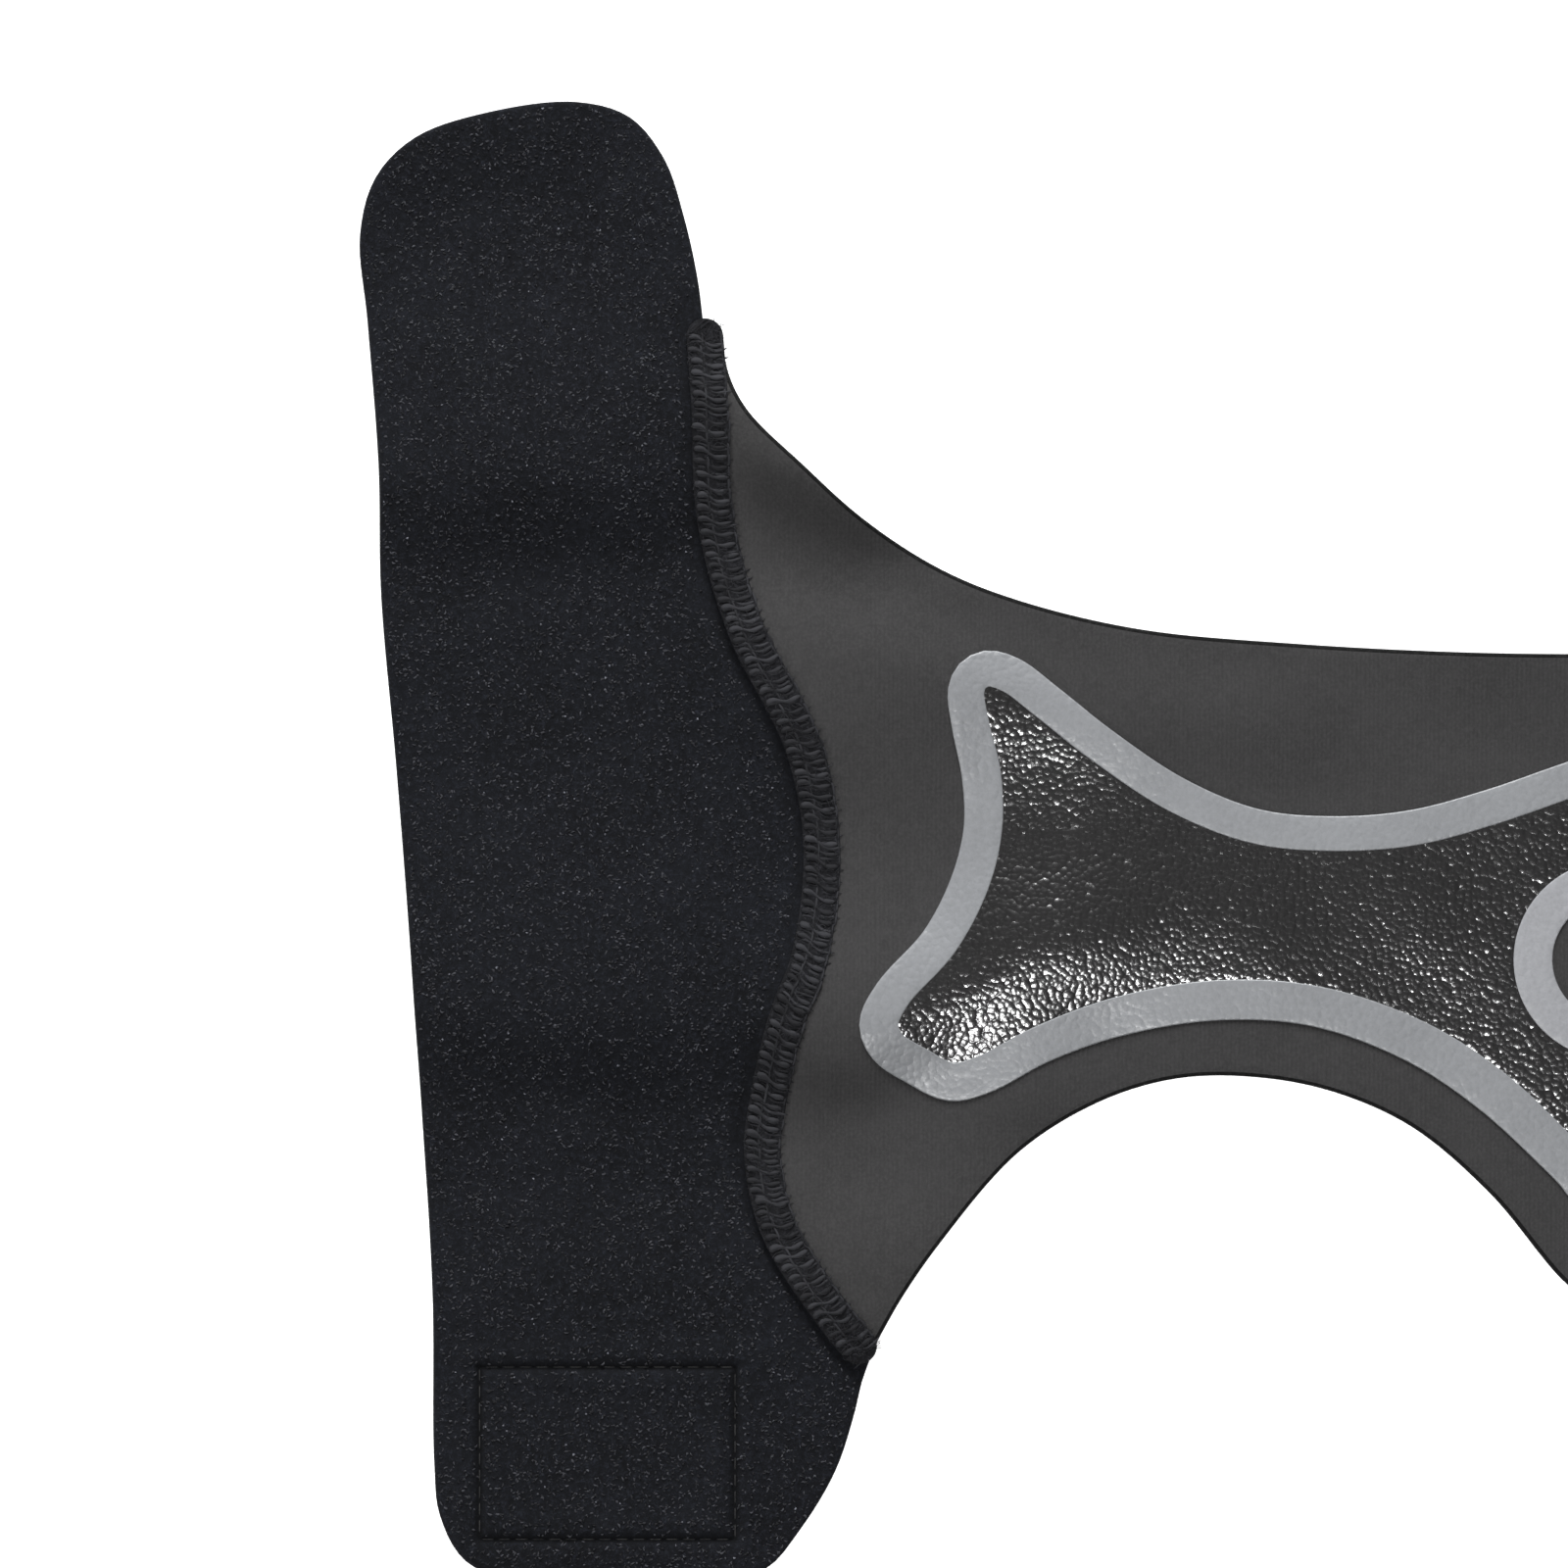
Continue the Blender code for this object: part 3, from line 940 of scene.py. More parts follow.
JERSEY = KnitFinish("jersey", (0.0292, 0.0286, 0.0291), 0.88, 1.10, 0.90)
FOAM_EDGE = FleeceFinish("foam_edge", (0.004, 0.004, 0.004), 0.95)
LINING = KnitFinish("lining", (0.020, 0.020, 0.022), 0.9, rib=0.9 * MM)
PILE_GROUND = FleeceFinish("pile_ground", (0.0034, 0.0038, 0.0052), 0.95, 1.4, 0.7, cloud=14 * MM)
PILE_LOOPS = FibreFinish("pile_loops", (0.0058, 0.0062, 0.0080), 0.85, 1.3, 0.75,
                         bright=(0.15, 0.155, 0.18))
SEAM_THREAD = FibreFinish("seam_thread", (0.0090, 0.0091, 0.0106), 0.9, 1.2, 0.8,
                          bright=(0.033, 0.0335, 0.038), specular=0.2)
SEAM_GROUND = FleeceFinish("seam_ground", (0.0060, 0.0061, 0.0072), 0.95)
SEWING = FibreFinish("sewing_thread", (0.007, 0.007, 0.008), 0.7, bright=(0.02, 0.02, 0.02))
GREY_PRINT = SatinFinish("grey_print", (0.191, 0.197, 0.206), 0.36, 1.10, 0.90, fine=0.9 * MM)
RING_PRINT = SatinFinish("ring_print", (0.246, 0.250, 0.263), 0.36, 1.10, 0.90, fine=0.9 * MM)
BLACK_PRINT = BeadedFinish("black_print", (0.0085, 0.0081, 0.0084), 0.235, 1.2, 0.8)
HOOK_TAPE = FleeceFinish("hook_tape_ground", (0.010, 0.010, 0.011), 0.8)
HOOKS = FibreFinish("hooks", (0.014, 0.014, 0.015), 0.4, bright=(0.05, 0.05, 0.05))

MATERIALS: dict[str, bpy.types.Material] = {}


def dressed(finish: Finish) -> bpy.types.Material:
    """The material of a finish, built once.

    Args:
        finish: the finish, which no other finish shares its name with.

    Returns:
        Its material.
    """
    if finish.name not in MATERIALS:
        MATERIALS[finish.name] = finish.material()
    return MATERIALS[finish.name]


def linked(name: str, data: bpy.types.ID) -> bpy.types.Object:
    """Make an object and link it to the scene.

    Args:
        name: its name.
        data: its mesh, light or camera.

    Returns:
        The object.
    """
    made = bpy.data.objects.new(name, data)
    bpy.context.scene.collection.objects.link(made)
    return made


def placed(name: str, data: bpy.types.Mesh) -> bpy.types.Object:
    """Link a piece to the scene and let it ride with the brace.

    Args:
        name: the object's name.
        data: its mesh.

    Returns:
        The object.
    """
    piece = linked(name, data)
    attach(piece, "root")
    return piece


@dataclass
class Layer:
    """A layer of the brace: a flat outline with thickness, laid over the folds.

    It starts low above the drape, its rims are rounded by rim, and it is cut into squares of
    grid and along lines_x and lines_y. Edges sharper than RIM_ANGLE are rounded, in RIM_STEPS
    steps. A face whose normal's Z is over FLAT counts as the outer face, and one under -FLAT
    as the back. CUT_SLACK is how near a cut may pass a point and take it as its own.
    """

    RIM_ANGLE: ClassVar[float] = 1.2
    RIM_STEPS: ClassVar[int] = 3
    FLAT: ClassVar[float] = 0.97
    CUT_SLACK: ClassVar[float] = 0.02 * MM

    name: str
    node: str
    slot: str
    outline: list[Point]
    low: float
    thick: float
    rim: float
    grid: float
    side: Side
    face_finish: Finish
    edge_finish: Finish | None = None
    back_finish: Finish | None = None
    lines_x: Sequence[float] = ()
    lines_y: Sequence[float] = ()
    piece: bpy.types.Object | None = field(default=None, init=False)

    def build(self) -> bpy.types.Object:
        """Model the layer, dress it and put it in its node's place.

        Returns:
            The finished object.
        """
        mesh = self._solid()
        self._cut(mesh)
        self._sort_faces(mesh)
        shaded = self._lay(mesh)
        data = bpy.data.meshes.new(self.name)
        mesh.to_mesh(data)
        mesh.free()
        data.shade_smooth()
        # painted shade of the grooves and the dip, kept as a point attribute for the finishes
        hollow = data.attributes.new("hollow", "FLOAT", "POINT")
        hollow.data.foreach_set("value", shaded.astype(np.float32))
        for finish in self.finishes():
            data.materials.append(dressed(finish))
        self.piece = placed(self.name, data)
        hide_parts(self.node)
        log.info("%s: %d faces", self.name, len(data.polygons))
        return self.piece

    def finishes(self) -> list[Finish]:
        """The finishes of the face, the edge and the back, in slot order."""
        return [self.face_finish, self.edge_finish or self.face_finish, self.back_finish or self.face_finish]

    def relief(self, x: np.ndarray, y: np.ndarray) -> tuple[np.ndarray, np.ndarray]:
        """Height that the outer face adds at X and Y, and how much painted shade its grooves get, 0 to 1."""
        return np.zeros_like(x), np.zeros_like(x)

    def _solid(self) -> bmesh.types.BMesh:
        """Model the flat solid with rounded rims, on the side that it belongs to.

        Returns:
            The closed solid, with its underside at 0.
        """
        mesh = bmesh.new()
        mesh.faces.new([mesh.verts.new((x, y, 0)) for x, y in self.outline])
        if self.side is Side.BOTH:
            everything = mesh.verts[:] + mesh.edges[:] + mesh.faces[:]
            bmesh.ops.mirror(mesh, geom=everything, axis="X", merge_dist=TINY)
            bmesh.ops.remove_doubles(mesh, verts=mesh.verts[:], dist=TINY)
        if self.side is Side.RIGHT:
            bmesh.ops.scale(mesh, vec=(-1, 1, 1), verts=mesh.verts[:])
        raised = bmesh.ops.extrude_face_region(mesh, geom=mesh.faces[:])
        tops = [item for item in raised["geom"] if isinstance(item, bmesh.types.BMVert)]
        bmesh.ops.translate(mesh, vec=(0, 0, self.thick), verts=tops)
        bmesh.ops.recalc_face_normals(mesh, faces=mesh.faces[:])
        rims = [e for e in mesh.edges if len(e.link_faces) == 2 and e.calc_face_angle() > self.RIM_ANGLE
                and abs(e.verts[0].co.z - e.verts[1].co.z) < TINY]
        bmesh.ops.bevel(mesh, geom=rims, offset=self.rim, offset_type="OFFSET", affect="EDGES",
                        segments=self.RIM_STEPS, profile=0.5, material=-1, clamp_overlap=False)
        return mesh

    def _cut(self, mesh: bmesh.types.BMesh) -> None:
        """Cut the solid into a grid fine enough to follow the folds.

        Args:
            mesh: the flat solid.
        """
        xs = [v.co.x for v in mesh.verts]
        ys = [v.co.y for v in mesh.verts]
        for lines, low, high, normal in (
            (self.lines_x, min(xs), max(xs), (1, 0, 0)), (self.lines_y, min(ys), max(ys), (0, 1, 0))
        ):
            first, last = math.ceil(low / self.grid), math.floor(high / self.grid)
            for at in [index * self.grid for index in range(first, last + 1)] + list(lines):
                bmesh.ops.bisect_plane(mesh, geom=mesh.verts[:] + mesh.edges[:] + mesh.faces[:],
                                       dist=self.CUT_SLACK, plane_co=(at, at, 0), plane_no=normal)

    def _sort_faces(self, mesh: bmesh.types.BMesh) -> None:
        """Give each face the slot of the outer face, the edge or the back.

        Args:
            mesh: the flat solid.
        """
        mesh.normal_update()
        for face in mesh.faces:
            tilt = face.normal.z
            face.material_index = 0 if tilt > self.FLAT else (2 if tilt < -self.FLAT else 1)
            face.smooth = True

    def _lay(self, mesh: bmesh.types.BMesh) -> np.ndarray:
        """Lift every point by the folds below it and the relief of its own face.

        Args:
            mesh: the flat solid.

        Returns:
            How much painted shade each point gets, 0 to 1.
        """
        where = np.array([v.co[:] for v in mesh.verts])
        share = np.clip(where[:, 2] / self.thick, 0, 1)
        relief, shaded = self.relief(where[:, 0], where[:, 1])
        lift = DRAPE(where[:, 0], where[:, 1]) + self.low + share * relief
        for vert, rise in zip(mesh.verts, lift):
            vert.co.z += rise
        return shaded * share


@dataclass
class Swarm:
    """Many copies of one small closed shape, joined into one mesh."""

    template: bmesh.types.BMesh
    spots: list[np.ndarray] = field(default_factory=list)
    tones: list[np.ndarray] = field(default_factory=list)

    def add(self, points: np.ndarray, tone: np.ndarray) -> None:
        """Add copies: their points, copies by points by 3, and a tone from 0 to 1 for each."""
        self.spots.append(points)
        self.tones.append(tone)

    def shape(self) -> np.ndarray:
        """The template's own points."""
        return np.array([v.co[:] for v in self.template.verts])

    def joined(self, name: str, finish: Finish, turned: bool = False) -> bpy.types.Object:
        """Join every copy into a finished piece.

        Args:
            name: the piece's name.
            finish: its finish.
            turned: whether to mirror it to the right half.

        Returns:
            The piece, with its tone attribute.
        """
        spots, tones = np.concatenate(self.spots), np.concatenate(self.tones)
        each = spots.shape[1]
        self.template.verts.index_update()
        faces = [[v.index for v in f.verts][:: -1 if turned else 1] for f in self.template.faces]
        sizes = np.tile([len(f) for f in faces], len(spots))
        corners = np.concatenate([np.array(f) for f in faces])
        corners = (corners[None] + np.arange(len(spots))[:, None] * each).ravel()
        if turned:
            spots = spots * (-1, 1, 1)
        data = bpy.data.meshes.new(name)
        data.vertices.add(len(spots) * each)
        data.vertices.foreach_set("co", spots.reshape(-1).astype(np.float32))
        data.loops.add(len(corners))
        data.loops.foreach_set("vertex_index", corners.astype(np.int32))
        data.polygons.add(len(sizes))
        data.polygons.foreach_set("loop_start", np.concatenate([[0], np.cumsum(sizes)[:-1]]).astype(np.int32))
        data.update(calc_edges=True)
        data.shade_smooth()
        tone = data.attributes.new("tone", "FLOAT", "POINT")
        tone.data.foreach_set("value", np.repeat(tones, each).astype(np.float32))
        self.template.free()
        data.materials.append(dressed(finish))
        log.info("%s: %d strands", name, len(spots))
        return placed(name, data)


def strand(sides: int, rings: int) -> bmesh.types.BMesh:
    """A closed strand along X from -0.5 to 0.5, of radius 1, with pointed ends.

    Args:
        sides: sides of its section.
        rings: rings between its two tips.

    Returns:
        The strand, to be bent and scaled.
    """
    mesh = bmesh.new()
    bmesh.ops.create_uvsphere(mesh, u_segments=sides, v_segments=rings + 1, radius=1.0)
    for vert in mesh.verts:
        turn = math.acos(max(-1.0, min(1.0, vert.co.z)))
        ring = math.hypot(vert.co.x, vert.co.y)
        thin = 1.0 / ring if ring > 1e-4 else 0.0
        vert.co = Vector((turn / math.pi - 0.5, vert.co.x * thin, vert.co.y * thin))
    bmesh.ops.recalc_face_normals(mesh, faces=mesh.faces[:])
    return mesh


def strap_outline() -> list[Point]:
    """A strap: both ears, its outer edge, and the seam.

    Returns:
        The closed outline on the left half.
    """
    ears = [from_top_end(place) for place in UPPER_EAR] + [from_bottom_end(place) for place in LOWER_EAR]
    seam = SEAM.shifted(-SIZES.gap / 2)
    return Curve([seam[0], *ears, seam[-1]], EDGE_STEP).points + seam[-2:0:-1]


@dataclass(frozen=True)
class Sewing:
    """The sewn rectangle that holds the hook tape: its stitches' margin, pitch and thickness."""

    margin: float = 0.4 * MM
    pitch: float = 2.9 * MM
    stitch_share: float = 0.86
    thick: float = 0.17 * MM

    @property
    def out(self) -> float:
        """Half of its width."""
        return SIZES.patch_wide / 2 - self.margin

    @property
    def up(self) -> float:
        """Half of its height."""
        return SIZES.patch_tall / 2 - self.margin

    def distance(self, x: np.ndarray, y: np.ndarray) -> np.ndarray:
        """Distance to the rectangle.

        Args:
            x: X of each point.
            y: Y of each point.

        Returns:
            Distances in metres, negative inside the rectangle.
        """
        aside = np.abs(-np.abs(x) - DRAPE.patch[0]) - self.out
        above = np.abs(y - DRAPE.patch[1]) - self.up
        far = np.hypot(np.maximum(aside, 0), np.maximum(above, 0))
        return far + np.minimum(np.maximum(aside, above), 0)

    def stitches(self, shape: np.ndarray, high: float, inset: float) -> np.ndarray:
        """Stitches all round the rectangle.

        Args:
            shape: the straight strand's points.
            high: height of their middles.
            inset: how far inside the rectangle they run.

        Returns:
            The points of each stitch.
        """
        made = []
        for half, other, turn in (
            (self.out - inset, self.up - inset, 0), (self.up - inset, self.out - inset, 90),
            (self.out - inset, self.up - inset, 180), (self.up - inset, self.out - inset, 270),
        ):
            for along in np.arange(-half + self.pitch / 2, half, self.pitch):
                east = shape[:, 0] * self.pitch * self.stitch_share + along
                north = shape[:, 1] * self.thick - other
                c, s = round(math.cos(math.radians(turn))), round(math.sin(math.radians(turn)))
                x, y = DRAPE.patch[0] + east * c - north * s, DRAPE.patch[1] + east * s + north * c
                made.append(np.stack([x, y, high + shape[:, 2] * self.thick], axis=1))
        return np.array(made)


SEWN = Sewing()


@dataclass
class Strap(Layer):
    """A loop-pile strap, pressed down by the hook tape's sewing and by the seam.

    The puffs run beside the sewing's grooves, and the seam's dip runs beside the seam. The grooves and the
    dip also get painted shade.
    """

    groove: float = 0.60 * MM
    groove_wide: float = 0.60 * MM
    puff: float = 0.40 * MM
    puff_at: float = 2.4 * MM
    puff_wide: float = 1.5 * MM
    dip: float = 0.30 * MM
    dip_at: float = 3.9 * MM
    dip_wide: float = 1.0 * MM
    # share of painted shade in the dip beside the seam
    dip_dark: float = 0.4

    def relief(self, x: np.ndarray, y: np.ndarray) -> tuple[np.ndarray, np.ndarray]:
        """The grooves and puffs that the sewing makes in the pile, and the dip beside the seam.

        Args:
            x: X of each point.
            y: Y of each point.

        Returns:
            The added height, and the painted shade of the grooves and the dip, 0 to 1.
        """
        gap = np.abs(SEWN.distance(x, y))
        press = np.exp(-((gap / self.groove_wide) ** 2))
        swell = np.exp(-(((gap - self.puff_at) / self.puff_wide) ** 2))
        seam = SEAM.distance(-np.abs(x), y)
        beside = np.exp(-(((seam - self.dip_at) / self.dip_wide) ** 2))
        raised = self.puff * swell - self.groove * press - self.dip * beside
        # painted shade: full in the sewing's grooves, weaker in the dip beside the seam
        return raised, np.maximum(press, self.dip_dark * beside)


@dataclass
class Pile:
    """The loops that stand on a strap, and the sewing that lies in its grooves.

    Pairs are the least and the most of a spread, in millimetres where they are lengths. A few
    loops are specks, which are shorter and brighter. The loops keep off the strap's edge by
    rim_free, off the sewing by sewing_free and off the seam's middle by seam_free, and their
    feet are sunk. turn is the spread of their directions in radians, and lean is how far
    their tops hang over, in millimetres.
    """

    strap: Strap
    per_square_mm: float = 1.08
    seed: int = 7
    rim_free: float = 0.8 * MM
    sewing_free: Span = (0.2, 1.1)
    seam_free: Span = (4.0, 4.8)
    sewing_low: float = 0.60 * MM
    speck_share: float = 0.012
    speck_long: Span = (0.4, 0.7)
    speck_tone: Span = (0.3, 1.0)
    long: Span = (0.5, 1.15)
    rise: Span = (0.06, 0.22)
    thick: Span = (0.11, 0.24)
    flat: float = 0.6
    turn: float = 0.8
    lean: float = 0.25
    sunk: float = 0.08 * MM
    tone: float = 0.27

    def build(self) -> list[bpy.types.Object]:
        """Scatter the loops and join them, and lay the sewing.

        Returns:
            The pile's object and the sewing's.
        """
        rng = np.random.default_rng(self.seed)
        outline = self.strap.outline
        low, high = np.min(outline, axis=0), np.max(outline, axis=0)
        count = int(np.prod((high - low) / MM) * self.per_square_mm)
        spots = rng.uniform(low, high, (count, 2))
        for step in ((1, 0), (-1, 0), (0, 1), (0, -1)):
            spots = spots[inside(spots + np.array(step) * self.rim_free, outline)]
        gap = np.abs(SEWN.distance(spots[:, 0], spots[:, 1]))
        seam = SEAM.distance(spots[:, 0], spots[:, 1])
        off_sewing = gap > rng.uniform(*self.sewing_free, len(spots)) * MM
        off_seam = seam > rng.uniform(*self.seam_free, len(spots)) * MM
        spots = spots[off_sewing & off_seam]
        turned = self.strap.side is Side.RIGHT
        swarm = Swarm(strand(3, 2))
        swarm.add(*self.loops(swarm.shape(), spots, rng))
        pile = swarm.joined(f"{self.strap.name}_pile", PILE_LOOPS, turned)
        sewing = Swarm(strand(5, 4))
        lines = SEWN.stitches(sewing.shape(), self.top(*DRAPE.patch) - self.sewing_low, 0.0)
        sewing.add(lines, rng.uniform(0, 1, len(lines)))
        return [pile, sewing.joined(f"{self.strap.name}_sewing", SEWING, turned)]

    def top(self, x: np.ndarray, y: np.ndarray) -> np.ndarray:
        """Height of the cloth's plain outer face at X and Y."""
        return DRAPE(x, y) + self.strap.low + self.strap.thick

    def loops(self, shape: np.ndarray, spots: np.ndarray, rng: np.random.Generator) -> tuple:
        """Bend the strand into a loop at each spot.

        Args:
            shape: the straight strand's points.
            spots: flat middles of the loops.
            rng: source of the spread.

        Returns:
            The points of each copy and a tone for each.
        """
        count = len(spots)
        speck = rng.random(count) < self.speck_share
        size = np.where(speck, rng.uniform(*self.speck_long, count), rng.uniform(*self.long, count)) * MM
        rise = rng.uniform(*self.rise, count) * MM
        thick = rng.uniform(*self.thick, count) * MM
        turn = rng.normal(0, self.turn, count)
        lean = rng.normal(0, self.lean, count) * MM
        along = shape[None, :, 0] * size[:, None]
        arch = 1 - (2 * shape[None, :, 0]) ** 2
        aside = lean[:, None] * arch + shape[None, :, 1] * thick[:, None]
        height = rise[:, None] * arch + shape[None, :, 2] * thick[:, None] * self.flat - self.sunk
        x = spots[:, :1] + along * np.cos(turn)[:, None] - aside * np.sin(turn)[:, None]
        y = spots[:, 1:] + along * np.sin(turn)[:, None] + aside * np.cos(turn)[:, None]
        base = self.top(spots[:, 0], spots[:, 1]) + self.strap.relief(spots[:, 0], spots[:, 1])[0]
        tone = self.tone * rng.random(count) ** 2 + speck * rng.uniform(*self.speck_tone, count)
        return np.stack([x, y, base[:, None] + height], axis=2), np.minimum(tone, 1)


@dataclass
class SeamBand:
    """A flat-lock seam: its low ground, the threads over it and the loose fibres.

    Pairs are the least and the most of a spread, in millimetres where they are lengths. first
    and last are how far the stitches keep from the seam's top end and from its bottom end.
    shake and wave are the spread of a thread's places and of its bend, in millimetres, and
    fibre_ends is the share of the fibres that stand at the seam's two ends.
    """

    side: Side
    pitch: float = 1.95 * MM
    rise: float = 0.50 * MM
    sunk: float = 0.05 * MM
    inset: float = 0.1 * MM
    rim: float = 0.2 * MM
    grid: float = 2.5 * MM
    first: float = 3.4 * MM
    last: float = 3.2 * MM
    end_free: float = 0.3 * MM
    steps: int = 90
    end_steps: int = 13
    thick: Span = (0.80, 1.16)
    flat: float = 0.46
    shake: float = 0.14
    wave: float = 0.16
    look: float = 0.06
    tones: Span = (0.05, 0.75)
    fibres: int = 900
    fibre_ends: float = 0.12
    fibre_end_at: Span = (0.02, 0.98)
    fibre_end_spread: float = 0.012
    fibre_long: Span = (0.8, 2.4)
    fibre_bend: float = 0.35
    fibre_thick: float = 0.05 * MM
    fibre_high: Span = (0.10, 0.42)
    fibre_across: Span = (-3.0, 3.1)
    fibre_edges: Span = (-3.4 * MM, 3.6 * MM)
    fibre_end_free: float = 0.2 * MM
    fibre_tones: Span = (0.1, 0.9)
    seed: int = 3

    def build(self) -> None:
        """Build the ground, the threads and the fibres."""
        low = max(SIZES.panel, SIZES.strap) - self.sunk
        Layer(f"seam_ground_{self.side.word}", f"seam_{self.side.word}", "seam_thread", self.outline(),
              low, self.rise, self.rim, self.grid, self.side, SEAM_GROUND).build()
        rng = np.random.default_rng(self.seed)
        starts = np.arange(self.first, SEAM.length - self.last, self.pitch)
        swarm = Swarm(strand(5, 9))
        for path in THREADS.values():
            swarm.add(*self.thread(path, swarm.shape(), starts, low + self.rise, rng))
        swarm.joined(f"seam_threads_{self.side.word}", SEAM_THREAD, self.side is Side.RIGHT)
        fuzz = Swarm(strand(3, 4))
        fuzz.add(*self.fuzz(fuzz.shape(), low + self.rise, rng))
        fuzz.joined(f"seam_fuzz_{self.side.word}", SEAM_THREAD, self.side is Side.RIGHT)

    def outline(self) -> list[Point]:
        """The ground's outline with round ends.

        Returns:
            The closed outline on the left half.
        """
        half = SIZES.seam_wide / 2 - self.inset
        along = np.linspace(half, SEAM.length - half, self.steps)
        left, right = (
            np.stack(SEAM.beside(along, np.full(self.steps, way * half)), axis=1) for way in (1, -1)
        )
        turns = np.radians(np.linspace(0, 180, self.end_steps))[1:-1]
        ends = []
        for at, way in ((SEAM.length - half, 1), (half, -1)):
            end = SEAM.beside(at + way * half * np.sin(turns), way * half * np.cos(turns))
            ends.append(np.stack(end, axis=1))
        return [tuple(p) for p in np.concatenate([left, ends[0], right[::-1], ends[1]]).tolist()]

    def thread(self, path: Sequence[Turn], shape: np.ndarray, starts: np.ndarray, low: float,
               rng: np.random.Generator) -> tuple:
        """One thread of each stitch.

        Args:
            path: the points that it passes through.
            shape: the straight strand's points.
            starts: distance of each stitch along the seam.
            low: height of the seam's ground above the drape.
            rng: source of the spread.

        Returns:
            The points of each copy and a tone for each.
        """
        turns = np.array(path) * MM
        count = len(starts)
        stops = np.linspace(0, 1, len(turns))
        share = np.clip(shape[:, 0] + 0.5, 0, 1)
        across, along, high, radius = (np.interp(share, stops, turns[:, k]) for k in range(4))
        slope = [np.interp(np.minimum(share + self.look, 1), stops, turns[:, k])
                 - np.interp(np.maximum(share - self.look, 0), stops, turns[:, k]) for k in (0, 1)]
        size = np.hypot(*slope)
        thick = radius[None] * rng.uniform(*self.thick, (count, 1))
        shake = rng.normal(0, self.shake, (count, 3, 1)) * MM
        wave = np.sin(share * 2 * math.pi)[None] * rng.normal(0, self.wave, (count, 1)) * MM
        across = across[None] + shake[:, 0] - shape[None, :, 1] * thick * slope[1] / size
        along = along[None] + shake[:, 1] + wave + shape[None, :, 1] * thick * slope[0] / size
        at = np.clip(starts[:, None] - along, self.end_free, SEAM.length - self.end_free)
        x, y = SEAM.beside(at, across)
        ground = DRAPE(x, y) + low + high[None] + np.abs(shake[:, 2]) / 2
        z = ground + shape[None, :, 2] * thick * self.flat
        return np.stack([x, y, z], axis=2), rng.uniform(*self.tones, count)

    def fuzz(self, shape: np.ndarray, low: float, rng: np.random.Generator) -> tuple:
        """Loose fibres that the threads shed, thickest at the seam's two ends.

        Args:
            shape: the straight strand's points.
            low: height of the seam's ground above the drape.
            rng: source of the spread.

        Returns:
            The points of each copy and a tone for each.
        """
        count = self.fibres
        ends = rng.random(count) < self.fibre_ends
        at_end = rng.choice(self.fibre_end_at, count) + rng.normal(0, self.fibre_end_spread, count)
        start = np.where(ends, at_end, rng.random(count))
        turn = rng.uniform(0, 2 * math.pi, count)[:, None]
        size = rng.uniform(*self.fibre_long, count)[:, None] * MM
        run, bend = shape[None, :, 0] * size, rng.normal(0, self.fibre_bend, (count, 1)) * MM
        aside = bend * (1 - (2 * shape[None, :, 0]) ** 2) + shape[None, :, 1] * self.fibre_thick
        middle = rng.uniform(*self.fibre_across, count)[:, None] * MM
        across = middle + run * np.cos(turn) - aside * np.sin(turn)
        along = start[:, None] * SEAM.length + run * np.sin(turn) + aside * np.cos(turn)
        along = np.clip(along, self.fibre_end_free, SEAM.length - self.fibre_end_free)
        x, y = SEAM.beside(along, np.clip(across, *self.fibre_edges))
        rise = rng.uniform(*self.fibre_high, count)[:, None] * MM
        z = DRAPE(x, y) + low + rise + shape[None, :, 2] * self.fibre_thick
        return np.stack([x, y, z], axis=2), rng.uniform(*self.fibre_tones, count)


